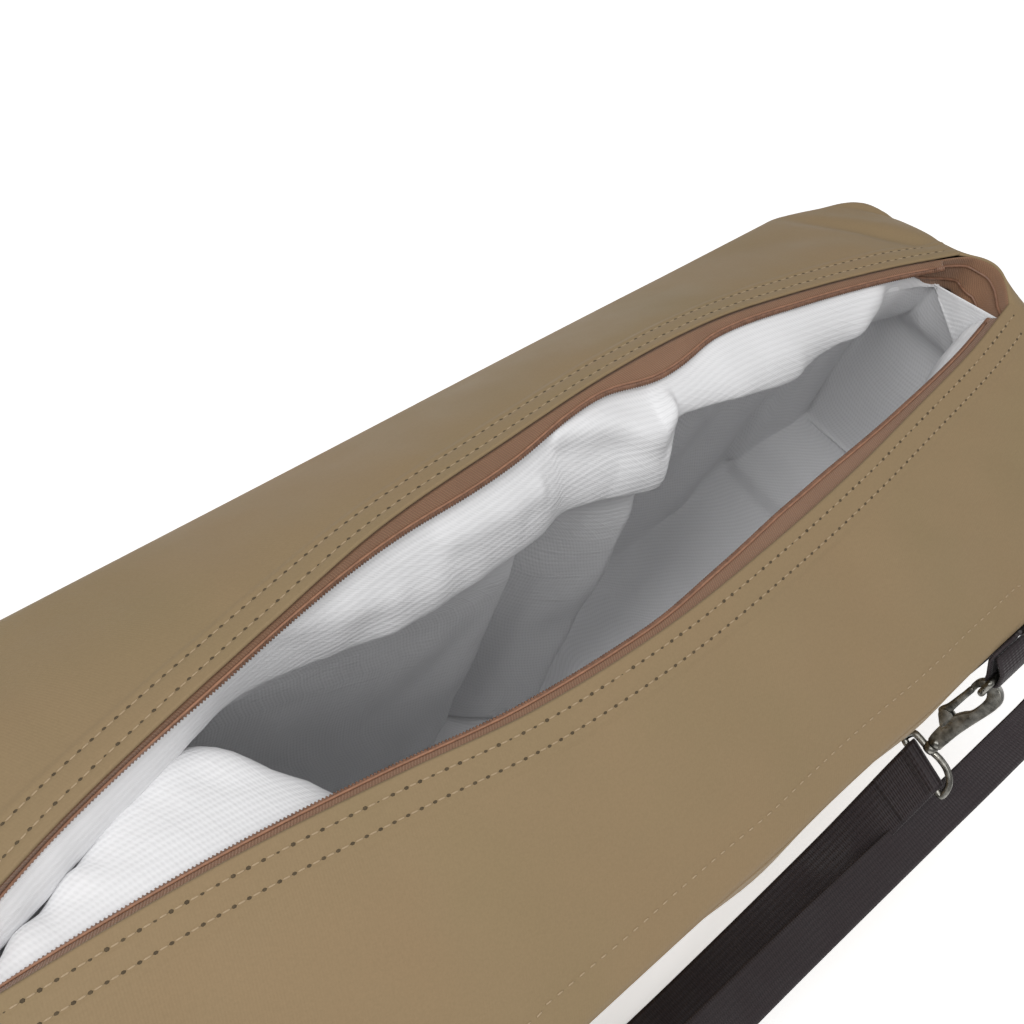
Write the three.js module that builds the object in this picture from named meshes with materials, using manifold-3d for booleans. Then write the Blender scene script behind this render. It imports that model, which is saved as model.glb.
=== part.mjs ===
// A soft zip-top cooler bag: canvas outside, a white lining that hangs inside from the opened zip,
// a webbing carry handle, and a webbing strap clipped on with a trigger snap hook.
// Millimetres. Origin on the ground under the middle of the base, +X along the zip to the right,
// -Y towards the front, +Z up.
import * as THREE from 'three';
import { mergeVertices } from 'three/addons/utils/BufferGeometryUtils.js';
import Module from 'manifold-3d';

const wasm = await Module();
wasm.setup();

// Canvas body
const RIDGE_HEIGHT = 265;
const EAVE_HEIGHT = 229;
const RIDGE_HALF_LENGTH = 308;
const EAVE_HALF_LENGTH = 342;
const BASE_HALF_LENGTH = 322;
const EAVE_HALF_WIDTH = 126;
const BASE_HALF_WIDTH = 103;
const BASE_EDGE_RADIUS = 14;
const CORNER_RADIUS = 34;
const CORNER_INSET = 24;
const WALL_BELLY = 1.5;
const TOP_CROWN = 5;
const TOP_PANEL_WIDTH = 66;
const END_BULGE = 9;
const CANVAS = 2;
const SEAM_GAP = 0.5;
const LENGTH_STEPS = 26;
const WALL_LEVELS = [EAVE_HEIGHT - CANVAS - SEAM_GAP, 200, 165, 125, 85, 48, BASE_EDGE_RADIUS, 4, 0];
const BASE_SPREAD = [-0.5, 0, 0.5];
const TOP_STEPS = 5;
const END_STEPS = 8;
const END_FOOT = 1.6;
const END_LIP = 0.4;
const END_LIP_POWER = 6;

// The zip opening: where the front and back folds lie, with their rise above the ridge height
const MOUTH = [
  { x: -308, frontY: -5.5, frontRise: 0, backY: 5, backRise: 0 },
  { x: -240, frontY: -10, frontRise: 2, backY: 23, backRise: 4 },
  { x: -190, frontY: -15, frontRise: 4, backY: 33, backRise: 8 },
  { x: -130, frontY: -24, frontRise: 5, backY: 44, backRise: 12 },
  { x: -70, frontY: -34, frontRise: 5, backY: 56, backRise: 15 },
  { x: 0, frontY: -38, frontRise: 5, backY: 63, backRise: 16 },
  { x: 70, frontY: -35.5, frontRise: 4, backY: 67, backRise: 16 },
  { x: 140, frontY: -30, frontRise: 3, backY: 66, backRise: 14 },
  { x: 200, frontY: -23, frontRise: 3, backY: 58, backRise: 11 },
  { x: 260, frontY: -15.5, frontRise: 4, backY: 45, backRise: 10 },
  { x: 308, frontY: -6.5, frontRise: 6, backY: 31, backRise: 10 },
];

// Creases pressed into the top panels, each from one point to another: x along the bag,
// across from 0 at the fold to 1 at the outer edge
const CREASES = [
  { side: 1, x0: 238, across0: 1, x1: 304, across1: 0.15, depth: 5, width: 11 },
  { side: 1, x0: 288, across0: 1, x1: 312, across1: 0.3, depth: 4, width: 9 },
];

// Swells of the canvas walls: middle, half width and half height of each, and how far it stands out
const SWELLS = [
  { side: -1, x: 112, z: 205, halfWide: 28, halfTall: 22, out: 2.5 },
  { side: -1, x: -5, z: 202, halfWide: 28, halfTall: 24, out: 3 },
  { side: 1, x: 60, z: 120, halfWide: 120, halfTall: 60, out: 5 },
  { side: 1, x: -150, z: 120, halfWide: 90, halfTall: 60, out: 4 },
];

// Zip: tape width under the flap, then its lean into the opening and its width below the fold
const TAPE_TUCK = 9;
const TAPE = 0.8;
const TAPE_END = 0.965;
const COIL_RADIUS = 1.5;
const COIL_SIDES = 6;
const ZIP_GAP = 0.4;
const TAPE_ROWS = [
  { x: -308, frontLean: 10, frontDrop: 11, backLean: 0, backDrop: 13 },
  { x: -250, frontLean: 45, frontDrop: 6, backLean: 0, backDrop: 13 },
  { x: -200, frontLean: 55, frontDrop: 5, backLean: 0, backDrop: 13 },
  { x: -120, frontLean: 62, frontDrop: 5, backLean: 3, backDrop: 13 },
  { x: -60, frontLean: 65, frontDrop: 5, backLean: 15, backDrop: 13 },
  { x: 0, frontLean: 65, frontDrop: 5, backLean: 25, backDrop: 13 },
  { x: 60, frontLean: 65, frontDrop: 8, backLean: 35, backDrop: 13 },
  { x: 130, frontLean: 65, frontDrop: 9.5, backLean: 50, backDrop: 13 },
  { x: 200, frontLean: 60, frontDrop: 6, backLean: 25, backDrop: 13 },
  { x: 308, frontLean: 40, frontDrop: 5, backLean: 20, backDrop: 13 },
];
const SLIDER = { length: 8, width: 11, height: 8, pullLength: 26, pullWidth: 7, pullThick: 1.6 };

// Lining rings from the zip down: spread is 0 at the zip edge and 1 at the wall, roll is how far it
// swells into a fully open mouth, drop is below the zip edge and height is above the ground
const LINING = 1.2;
const LINING_OVERLAP = 3;
const FULL_MOUTH = 80;
const LINING_CLEARANCE = 4;
const LINING_END_CLEARANCE = 6;
const LINING_END_SHARES = [0.25, 0.5, 0.75];
const LINING_RINGS = [
  { spread: 0, roll: 0, drop: 0 },
  { spread: 0, roll: 0, drop: 8 },
  { spread: 0, roll: 6, drop: 17 },
  { spread: 0.03, roll: 2, drop: 32 },
  { spread: 0.4, roll: 0, drop: 46 },
  { spread: 0.93, roll: 0, height: 190 },
  { spread: 1, roll: 0, height: 150 },
  { spread: 1, roll: 0, height: 95 },
  { spread: 1, roll: 0, height: 42 },
  { spread: 0.93, roll: 0, height: 11 },
  { spread: 0.78, roll: 0, height: 2.9 },
];

// Hanging folds of the lining, pushed in from its wall between a top and a bottom height
const LINING_FOLDS = [
  { side: 1, x: 118, half: 30, depth: 34, top: 232, bottom: 60 },
  { side: 1, x: 18, half: 36, depth: 52, top: 228, bottom: 8 },
  { side: 1, x: -150, half: 44, depth: 40, top: 236, bottom: 110 },
  { side: -1, x: 60, half: 70, depth: 12, top: 200, bottom: 40 },
];
const FOLD_FADE = 26;

// Webbing and hardware of the strap: all on the front wall, the same on both sides
const WEBBING_WIDTH = 25;
const WEBBING = 1.8;
const WIRE_RADIUS = 1.8;
const WIRE_SIDES = 7;
const WIRE_START = new THREE.Vector3(0.3, 0.5, 0.81);
const HOOK_TOP = new THREE.Vector3(167, -138, 205);
const HOOK_LEAN = 27;
const HOOK_HALF_THICK = 3.2;
const CHEEK = 0.9;
const GATE_HALF_THICK = 1.8;
const PIVOT = { along: 28, out: -9.2, pinRadius: 0.9, holeRadius: 1.25 };
const SWIVEL = { out: -2.2, boreStart: 37.5, boreRadius: 1.9, studRadius: 1.5, studStart: 38,
  collarStart: 41, collarEnd: 43.5, collarRadius: 3.9, knobStart: 43.9, knobEnd: 48.5, knobRadius: 3.4 };
const SWIVEL_SIDES = 12;
const PIN_SIDES = 10;
const HOLE_STEPS = 5;
const TAB_STEPS = 7;
const BAIL = { along: 56, out: 1.5, tilt: 15, halfWidth: 15.8 };
const RING_RADIUS = 14.8;
const RING_SEAT = { along: 7.5, out: -3.6 };
const RING_NECK = 2;
const RING_BAR_SHARES = [1, 0.8, 0.4, 0, -0.4, -0.8, -1];
const RING_STEPS = 12;
const TAB_TOP = 226;
const TAB_BACK = -126.4;
const EYE_CLEARANCE = 0.5;
const STRAP_EYE_CLEARANCE = 0.8;
const STRAP_BOTTOM = 16;
const STRAP_OUT = -140.5;
const STRAP_SEWN = 21;
const STRAP_EYE_TAPER = 6;
const STRAP_LAP_TAPER = 1;
const STRAP_STEPS = 16;
const EYE_STEPS = 9;
const STRAP_SKEW_REACH = 70;

// Trigger snap hook outlines: along the hook from its rounded end, and out from the wall (negative
// is towards the wall)
const HOOK_OUTLINE = [
  [8.6, -9], [6, -9.4], [3.2, -8.2], [1, -5.4], [0, -1.8], [0.6, 1.8], [2.6, 4.6], [5.5, 6.2], [9, 6.4],
  [16, 5.2], [24, 3.6], [32, 2.4], [39, 1.8], [42, 1.2], [42, -5.6], [38, -6.4], [31, -6.2], [27, -5.8],
  [21.5, -3.2], [19, -1.4], [15.5, -0.5], [11, -0.1], [7.6, -0.4], [5.6, -1.8], [4.9, -3.8], [5.6, -5.6],
  [7, -6.3], [8.6, -6.4],
];
const GATE_TIP = 9;
const PLAIN_GATE_LAP = 1;
const GATE_OUTLINE = [
  [GATE_TIP, -6.5], [GATE_TIP, -9], [14, -9.8], [20, -10.6], [24, -11.2], [27, -12.4], [28.4, -12.4],
  [29.6, -11.2], [31.5, -9.6], [31, -7.2], [26.5, -7], [21, -6.9], [15, -6.6],
];
const CHEEK_OUTLINE = [[25.5, -5.6], [25.6, -9.6], [27, -11.2], [29, -11.2], [31, -9.4], [34, -5.6]];

// Bail wire from the swivel knob round the strap and back: along and out as for the hook
const BAIL_RIGHT_ARM = [[47, -2.2], [46.8, 4.5], [48.6, 11], [52.5, 15.4], [56.5, 16.9]];
const BAIL_BAR_SHARES = [1, 0.5, 0, -0.5, -1];
const BAIL_STEPS = 23;
const BAIL_LEFT_ARM = [[48.5, -13.6], [46.4, -12.2], [46.2, -9.2], [46.6, -5.6], [47, -2.2]];

// Carry handle: the leg sewn flat to the wall, then the right half of the free band, with the
// middle of the band and the direction of its width in each row
const HANDLE_LEG = { x: 202, heights: [150, 180, 200, 212], gap: 0.5 };
const HANDLE_HALF = [
  { x: 203, y: -131, z: 223, wx: 1, wy: -0.05, wz: 0 },
  { x: 205, y: -140, z: 228, wx: 0.95, wy: -0.25, wz: 0.1 },
  { x: 208, y: -151, z: 223, wx: 0.8, wy: -0.5, wz: -0.3 },
  { x: 206, y: -160, z: 208, wx: 0.6, wy: -0.6, wz: -0.5 },
  { x: 197, y: -164, z: 187, wx: 0.45, wy: -0.75, wz: -0.5 },
  { x: 175, y: -165, z: 155, wx: 0.3, wy: -0.8, wz: -0.5 },
  { x: 140, y: -165, z: 126, wx: 0.2, wy: -0.82, wz: -0.5 },
  { x: 95, y: -164.5, z: 104, wx: 0.1, wy: -0.85, wz: -0.45 },
  { x: 48, y: -164, z: 92, wx: 0.05, wy: -0.9, wz: -0.4 },
  { x: 0, y: -164, z: 88, wx: 0, wy: -0.92, wz: -0.4 },
];
const HANDLE_STEPS = 44;

// Colours
const CANVAS_LOOK = { color: 0x92805f, roughness: 0.7, metalness: 0 };
const LINING_LOOK = { color: 0xe9e9ea, roughness: 0.6, metalness: 0 };
const TAPE_LOOK = { color: 0x9a7054, roughness: 0.8, metalness: 0 };
const COIL_LOOK = { color: 0x8a6248, roughness: 0.5, metalness: 0 };
const WEBBING_LOOK = { color: 0x3a2c2e, roughness: 0.85, metalness: 0 };
const NICKEL_LOOK = { color: 0x77766d, roughness: 0.35, metalness: 1 };

const WELD_DISTANCE = 1e-4;
const group = new THREE.Group();

// Small helpers
const degrees = (angle) => THREE.MathUtils.degToRad(angle);
const lerp = THREE.MathUtils.lerp;
const bell = (distance, half) => Math.exp(-((distance / half) ** 2));
const ramp = THREE.MathUtils.smoothstep;
const stations = Array.from({ length: LENGTH_STEPS + 1 },
  (_, i) => Math.sin((Math.PI / 2) * ((2 * i) / LENGTH_STEPS - 1)));
const fractions = (count) => Array.from({ length: count + 1 }, (_, i) => i / count);

// A column of a table at any x, on a smooth curve through its rows
function along(rows, column, x) {
  const last = rows.length - 2;
  const found = rows.findIndex((row, i) => i > last || x <= rows[i + 1].x);
  const i = Math.min(found, last);
  const slope = (k) => {
    const before = rows[Math.max(k - 1, 0)];
    const after = rows[Math.min(k + 1, rows.length - 1)];
    return (after[column] - before[column]) / (after.x - before.x);
  };
  const span = rows[i + 1].x - rows[i].x;
  const t = THREE.MathUtils.clamp((x - rows[i].x) / span, 0, 1);
  const start = (1 + 2 * t) * (1 - t) ** 2 * rows[i][column] + t * (1 - t) ** 2 * span * slope(i);
  const end = t * t * (3 - 2 * t) * rows[i + 1][column] + t * t * (t - 1) * span * slope(i + 1);
  return start + end;
}

function addMesh(name, geometry, look) {
  const mesh = new THREE.Mesh(geometry, new THREE.MeshStandardMaterial(look));
  mesh.name = name;
  group.add(mesh);
}

function solid(points, faces) {
  const geometry = new THREE.BufferGeometry();
  const position = new Float32Array(points.flatMap((point) => [point.x, point.y, point.z]));
  geometry.setAttribute('position', new THREE.BufferAttribute(position, 3));
  geometry.setIndex(faces.flat());
  return geometry;
}

// Two triangles for each cell of a grid of points; rows may close on themselves
function gridFaces(rows, columns, closed = false) {
  const faces = [];
  const cells = closed ? columns : columns - 1;
  for (let r = 0; r < rows - 1; r += 1) {
    for (let c = 0; c < cells; c += 1) {
      const next = (c + 1) % columns;
      const [a, b] = [r * columns + c, r * columns + next];
      const [d, e] = [(r + 1) * columns + c, (r + 1) * columns + next];
      faces.push([a, d, b], [b, d, e]);
    }
  }
  return faces;
}

// A closed wall from an open surface: a copy moved back along the normals, and a rim round the edge
function thicken(points, faces, thickness) {
  const surface = solid(points, faces);
  surface.computeVertexNormals();
  const normal = surface.getAttribute('normal');
  const back = points.map((point, i) => {
    const step = new THREE.Vector3().fromBufferAttribute(normal, i);
    return point.clone().addScaledVector(step, -thickness);
  });
  const count = points.length;
  const edges = new Set(faces.flatMap(([a, b, c]) => [`${a} ${b}`, `${b} ${c}`, `${c} ${a}`]));
  const rim = [];
  for (const edge of edges) {
    const [a, b] = edge.split(' ').map(Number);
    if (!edges.has(`${b} ${a}`)) {
      rim.push([b, a, a + count], [b, a + count, b + count]);
    }
  }
  const reversed = faces.map(([a, b, c]) => [a + count, c + count, b + count]);
  return solid([...points, ...back], [...faces, ...reversed, ...rim]);
}

// A bar swept through rings of points, closed by a cap at each end
function sweep(rings) {
  const sides = rings[0].length;
  const faces = gridFaces(rings.length, sides, true);
  const start = fractions(sides - 1).slice(1, -1).map((_, i) => [0, i + 1, i + 2]);
  const first = (rings.length - 1) * sides;
  const end = start.map(([a, b, c]) => [first + a, first + c, first + b]);
  return solid(rings.flat(), [...faces, ...start, ...end]);
}

// A round wire along a list of points, with its section kept from turning
function wire(centres, radius, sides) {
  const tangents = centres.map((_, i) => {
    const before = centres[Math.max(i - 1, 0)];
    const after = centres[Math.min(i + 1, centres.length - 1)];
    return after.clone().sub(before).normalize();
  });
  const across = WIRE_START.clone();
  const rings = centres.map((centre, i) => {
    across.addScaledVector(tangents[i], -across.dot(tangents[i])).normalize();
    const up = tangents[i].clone().cross(across);
    return fractions(sides).slice(0, sides).map((turn) => {
      const angle = -2 * Math.PI * turn;
      return centre.clone().addScaledVector(across, radius * Math.cos(angle))
        .addScaledVector(up, radius * Math.sin(angle));
    });
  });
  return rings;
}

// A ring of wire that closes on itself
function closedWire(centres, radius, sides) {
  const loop = [...centres, centres[0], centres[1]];
  const count = centres.length;
  const rings = wire([centres[count - 1], ...loop], radius, sides).slice(1, count + 1);
  const faces = gridFaces(rings.length + 1, sides, true)
    .map((face) => face.map((index) => index % (rings.length * sides)));
  return solid(rings.flat(), faces);
}

function toSolid(geometry) {
  const bare = geometry.clone();
  bare.deleteAttribute('normal');
  bare.deleteAttribute('uv');
  const merged = mergeVertices(bare, WELD_DISTANCE);
  const mesh = new wasm.Mesh({
    numProp: 3,
    vertProperties: new Float32Array(merged.getAttribute('position').array),
    triVerts: new Uint32Array(merged.getIndex().array),
  });
  mesh.merge();
  return new wasm.Manifold(mesh);
}

function fromSolid(manifold) {
  const mesh = manifold.getMesh();
  const geometry = new THREE.BufferGeometry();
  const position = new Float32Array(mesh.vertProperties);
  geometry.setAttribute('position', new THREE.BufferAttribute(position, 3));
  geometry.setIndex(new THREE.BufferAttribute(new Uint32Array(mesh.triVerts), 1));
  return geometry;
}

function mirrored(geometry) {
  const copy = geometry.clone();
  copy.scale(-1, 1, 1);
  const index = copy.getIndex().array;
  for (let i = 0; i < index.length; i += 3) {
    [index[i], index[i + 1]] = [index[i + 1], index[i]];
  }
  return copy;
}

// Canvas body
const halfLength = (z) => lerp(BASE_HALF_LENGTH, EAVE_HALF_LENGTH, z / EAVE_HEIGHT);

function halfWidth(z) {
  const wall = lerp(BASE_HALF_WIDTH, EAVE_HALF_WIDTH, z / EAVE_HEIGHT);
  const belly = WALL_BELLY * Math.sin((Math.PI * z) / EAVE_HEIGHT);
  const under = Math.max(BASE_EDGE_RADIUS - z, 0);
  return wall + belly - BASE_EDGE_RADIUS + Math.sqrt(BASE_EDGE_RADIUS ** 2 - under ** 2);
}

function cornerInset(x, half) {
  const past = Math.max(Math.abs(x) - (half - CORNER_RADIUS), 0) / CORNER_RADIUS;
  return CORNER_INSET * (1 - Math.sqrt(Math.max(1 - past ** 2, 0)));
}

function swell(side, x, z) {
  const rows = SWELLS.filter((row) => row.side === side);
  return rows.reduce((sum, row) => {
    const near = bell(x - row.x, row.halfWide) * bell(z - row.z, row.halfTall);
    return sum + row.out * near;
  }, 0);
}

function wallPoint(side, s, z) {
  const x = s * halfLength(z);
  const out = halfWidth(z) - cornerInset(x, halfLength(z)) + swell(side, x, z);
  return new THREE.Vector3(x, side * out, z);
}

function creaseDepth(side, x, across) {
  const flat = (flatX, share) => new THREE.Vector3(flatX, share * TOP_PANEL_WIDTH, 0);
  return CREASES.filter((row) => row.side === side).reduce((sum, row) => {
    const line = new THREE.Line3(flat(row.x0, row.across0), flat(row.x1, row.across1));
    const spot = flat(x, across);
    const distance = line.closestPointToPoint(spot, true, new THREE.Vector3()).distanceTo(spot);
    return sum + row.depth * bell(distance, row.width);
  }, 0);
}

// Top panel from its fold at the zip, across 0, to its outer edge, across 1
function topPoint(side, s, across) {
  const foldX = s * RIDGE_HALF_LENGTH;
  const name = side < 0 ? 'front' : 'back';
  const foldZ = RIDGE_HEIGHT + along(MOUTH, `${name}Rise`, foldX);
  const fold = new THREE.Vector3(foldX, along(MOUTH, `${name}Y`, foldX), foldZ);
  const eave = wallPoint(side, s, EAVE_HEIGHT);
  const point = fold.lerp(eave, across);
  const free = Math.sin(Math.PI * across);
  point.z += free * (TOP_CROWN - creaseDepth(side, point.x, across));
  return point;
}


function bodyWrap() {
  const points = stations.flatMap((s) => {
    const front = WALL_LEVELS.map((z) => wallPoint(-1, s, z));
    const back = WALL_LEVELS.map((z) => wallPoint(1, s, z)).reverse();
    const foot = back[0];
    const base = BASE_SPREAD.map((spread) => new THREE.Vector3(foot.x, foot.y * spread, 0));
    return [...front, ...base, ...back];
  });
  const columns = points.length / stations.length;
  return thicken(points, gridFaces(stations.length, columns).map(([a, b, c]) => [a, c, b]), CANVAS);
}

const TOP_COLUMNS = fractions(TOP_STEPS);

function topPanel(side) {
  const points = stations.flatMap((s) => TOP_COLUMNS.map((across) => topPoint(side, s, across)));
  const faces = gridFaces(stations.length, TOP_COLUMNS.length);
  return thicken(points, side < 0 ? faces.map(([a, b, c]) => [a, c, b]) : faces, CANVAS);
}

// End panel: sewn over the ends of the wrap and the two top panels, its foot a little above the ground
// and its top edge bowed outward by a share of the opening's width there
function endPanel(end) {
  const wallPair = (z) => [wallPoint(-1, end, z), wallPoint(1, end, z)];
  const wallRow = (z) => wallPair(Math.max(z, END_FOOT));
  const roofRow = (across) => [topPoint(-1, end, across), topPoint(1, end, across)];
  const rows = [...[...WALL_LEVELS].reverse().map(wallRow), ...[...TOP_COLUMNS].reverse().map(roofRow)];
  const columns = fractions(END_STEPS);
  const bow = END_LIP * (topPoint(1, end, 0).y - topPoint(-1, end, 0).y);
  const points = rows.flatMap(([front, back], r) => columns.map((c) => {
    const point = front.clone().lerp(back, c);
    const bulge = END_BULGE * Math.sin(Math.PI * c) * Math.sin((Math.PI * r) / (rows.length - 1));
    const lip = bow * Math.sin(Math.PI * c) * (r / (rows.length - 1)) ** END_LIP_POWER;
    point.x += end * (SEAM_GAP + bulge + lip);
    return point;
  }));
  const faces = gridFaces(rows.length, columns.length);
  const inward = end > 0 ? faces : faces.map(([a, b, c]) => [a, c, b]);
  return thicken(points, inward, CANVAS);
}

// Zip: the tape's tuck under the flap, its fold and its free edge
function tapePoints(side, s) {
  const fold = topPoint(side, s, 0);
  const flap = topPoint(side, s, TOP_COLUMNS[1]).sub(fold).setX(0).normalize();
  const under = new THREE.Vector3(0, -side * flap.z, side * flap.y).multiplyScalar(-(CANVAS + ZIP_GAP));
  const name = side < 0 ? 'front' : 'back';
  const lean = degrees(along(TAPE_ROWS, `${name}Lean`, fold.x));
  const hang = new THREE.Vector3(0, -side * Math.sin(lean), -Math.cos(lean));
  const away = new THREE.Vector3(0, side * Math.cos(lean), -Math.sin(lean));
  const bend = fold.clone().add(under);
  const tuck = bend.clone().addScaledVector(flap, TAPE_TUCK);
  const edge = bend.clone().addScaledVector(hang, along(TAPE_ROWS, `${name}Drop`, fold.x));
  return { tuck, bend, edge, hang, away };
}

const zipStations = stations.filter((s) => Math.abs(s) < TAPE_END);

function zipTape(side) {
  const points = zipStations.flatMap((s) => {
    const { tuck, bend, edge } = tapePoints(side, s);
    return [tuck, bend, edge];
  });
  const faces = gridFaces(zipStations.length, 3);
  return thicken(points, side > 0 ? faces.map(([a, b, c]) => [a, c, b]) : faces, TAPE);
}

function coilCentre(side, s) {
  const { edge, hang, away } = tapePoints(side, s);
  return edge.addScaledVector(hang, COIL_RADIUS + ZIP_GAP).addScaledVector(away, TAPE / 2);
}

function zipCoil(side) {
  return sweep(wire(zipStations.map((s) => coilCentre(side, s)), COIL_RADIUS, COIL_SIDES));
}

// Slider parked at the left end of the opened zip, its pull hanging inside
function zipSlider() {
  const end = coilCentre(-1, zipStations[0]).add(coilCentre(1, zipStations[0])).multiplyScalar(0.5);
  const body = new THREE.BoxGeometry(SLIDER.length, SLIDER.width, SLIDER.height);
  const x = end.x - SLIDER.length / 2 - ZIP_GAP;
  body.translate(x, end.y, end.z);
  const pull = new THREE.BoxGeometry(SLIDER.pullThick, SLIDER.pullWidth, SLIDER.pullLength);
  pull.translate(x, end.y, end.z - SLIDER.pullLength / 2);
  return fromSolid(toSolid(body).add(toSolid(pull)));
}

// Lining
function liningFold(side, x, z) {
  return LINING_FOLDS.filter((row) => row.side === side).reduce((sum, row) => {
    const begins = ramp(z, row.bottom - FOLD_FADE, row.bottom + FOLD_FADE);
    const ends = 1 - ramp(z, row.top - FOLD_FADE, row.top);
    return sum + row.depth * bell(x - row.x, row.half) * begins * ends;
  }, 0);
}

function liningPoint(side, s, ring) {
  const inside = s * (1 - LINING_END_CLEARANCE / RIDGE_HALF_LENGTH);
  const { edge, hang, away } = tapePoints(side, inside);
  const behindCoil = TAPE / 2 + COIL_RADIUS + 2 * ZIP_GAP + LINING;
  const lip = edge.addScaledVector(hang, -LINING_OVERLAP).addScaledVector(away, behindCoil);
  const z = ring.height ?? lip.z - ring.drop;
  const wall = wallPoint(side, inside, Math.min(z, EAVE_HEIGHT));
  wall.y -= side * LINING_CLEARANCE;
  const x = lerp(lip.x, wall.x, ring.spread);
  const mouth = along(MOUTH, 'backY', lip.x) - along(MOUTH, 'frontY', lip.x);
  const roll = ring.roll * Math.min(mouth / FULL_MOUTH, 1);
  const y = lerp(lip.y, wall.y, ring.spread) - side * (roll + liningFold(side, x, z));
  return new THREE.Vector3(x, y, z);
}

function lining() {
  const rings = LINING_RINGS.map((ring) => {
    const front = stations.map((s) => liningPoint(-1, s, ring));
    const back = stations.map((s) => liningPoint(1, s, ring)).reverse();
    const right = LINING_END_SHARES.map((c) => front[LENGTH_STEPS].clone().lerp(back[0], c));
    const left = LINING_END_SHARES.map((c) => back[LENGTH_STEPS].clone().lerp(front[0], c));
    return [...front, ...right, ...back, ...left];
  });
  const columns = rings[0].length;
  const walls = gridFaces(rings.length, columns, true);
  const first = (rings.length - 1) * columns;
  const plan = rings[rings.length - 1].map((point) => new THREE.Vector2(point.x, point.y));
  const floor = THREE.ShapeUtils.triangulateShape(plan, [])
    .map((face) => face.map((index) => first + index).reverse());
  return thicken(rings.flat(), [...walls, ...floor], LINING);
}

// Snap hook: its own frame has one axis along the hook, one out from the wall and one across it
const HOOK_ALONG = new THREE.Vector3(-Math.sin(degrees(HOOK_LEAN)), 0, -Math.cos(degrees(HOOK_LEAN)));
const HOOK_OUT = new THREE.Vector3(0, -1, 0);
const HOOK_ACROSS = HOOK_ALONG.clone().cross(HOOK_OUT);
const HOOK_FRAME = new THREE.Matrix4().makeBasis(HOOK_ALONG, HOOK_OUT, HOOK_ACROSS).setPosition(HOOK_TOP);
const hookPoint = (a, out) => new THREE.Vector3(a, out, 0).applyMatrix4(HOOK_FRAME);

function plate(outline, low, high, holes = []) {
  const shape = new THREE.Shape(outline.map(([a, out]) => new THREE.Vector2(a, out)));
  shape.holes = holes;
  const settings = { depth: high - low, bevelEnabled: false, curveSegments: HOLE_STEPS };
  const geometry = new THREE.ExtrudeGeometry(shape, settings);
  return geometry.translate(0, 0, low).applyMatrix4(HOOK_FRAME);
}

function roundHole(x, y, radius) {
  const hole = new THREE.Path();
  hole.absarc(x, y, radius, 0, 2 * Math.PI, true);
  return hole;
}

// A round bar along the hook at the swivel's place
function swivelBar(start, end, radius) {
  const bar = new THREE.CylinderGeometry(radius, radius, end - start, SWIVEL_SIDES);
  bar.rotateZ(-Math.PI / 2).translate((start + end) / 2, SWIVEL.out, 0);
  return bar.applyMatrix4(HOOK_FRAME);
}

function pivotPin() {
  const length = 2 * HOOK_HALF_THICK - CHEEK;
  const pin = new THREE.CylinderGeometry(PIVOT.pinRadius, PIVOT.pinRadius, length, PIN_SIDES);
  pin.rotateX(Math.PI / 2).translate(PIVOT.along, PIVOT.out, 0);
  return pin.applyMatrix4(HOOK_FRAME);
}

function hookBody() {
  const inner = HOOK_HALF_THICK - CHEEK;
  const frame = toSolid(plate(HOOK_OUTLINE, -HOOK_HALF_THICK, HOOK_HALF_THICK));
  const nearCheek = toSolid(plate(CHEEK_OUTLINE, inner, HOOK_HALF_THICK));
  const farCheek = toSolid(plate(CHEEK_OUTLINE, -HOOK_HALF_THICK, -inner));
  const collar = toSolid(swivelBar(SWIVEL.collarStart, SWIVEL.collarEnd, SWIVEL.collarRadius));
  const bore = toSolid(swivelBar(SWIVEL.boreStart, SWIVEL.knobStart, SWIVEL.boreRadius));
  return frame.add(nearCheek).add(farCheek).add(toSolid(pivotPin())).add(collar).subtract(bore);
}

function hookGate() {
  const pivotHole = roundHole(PIVOT.along, PIVOT.out, PIVOT.holeRadius);
  return plate(GATE_OUTLINE, -GATE_HALF_THICK, GATE_HALF_THICK, [pivotHole]);
}

const BAIL_TILT = degrees(BAIL.tilt);
const bailBar = (shift) => [
  BAIL.along + shift * Math.sin(BAIL_TILT),
  BAIL.out + shift * Math.cos(BAIL_TILT),
];

function hookBail() {
  const barPlaces = BAIL_BAR_SHARES.map((share) => bailBar(share * BAIL.halfWidth));
  const route = [...BAIL_RIGHT_ARM, ...barPlaces, ...BAIL_LEFT_ARM].map(([a, out]) => hookPoint(a, out));
  const centres = new THREE.CatmullRomCurve3(route, false, 'centripetal').getPoints(BAIL_STEPS);
  const knob = toSolid(swivelBar(SWIVEL.knobStart, SWIVEL.knobEnd, SWIVEL.knobRadius));
  const stud = toSolid(swivelBar(SWIVEL.studStart, SWIVEL.knobEnd, SWIVEL.studRadius));
  return toSolid(sweep(wire(centres, WIRE_RADIUS, WIRE_SIDES))).add(knob).add(stud);
}

// The far hook is plain: its gate is closed and part of the body, and its swivel is filled
function plainHook() {
  const closed = GATE_OUTLINE.map(([a, out]) => (a === GATE_TIP ? [a - PLAIN_GATE_LAP, out] : [a, out]));
  const filler = toSolid(plate(closed, -GATE_HALF_THICK, GATE_HALF_THICK));
  const neck = toSolid(swivelBar(SWIVEL.boreStart, SWIVEL.knobEnd, SWIVEL.collarRadius));
  return hookBody().add(filler).add(neck).add(hookBail());
}

// D-ring: half a circle below a straight bar, hanging in its tab
const RING_CENTRE = hookPoint(RING_SEAT.along - RING_RADIUS, RING_SEAT.out);

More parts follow.
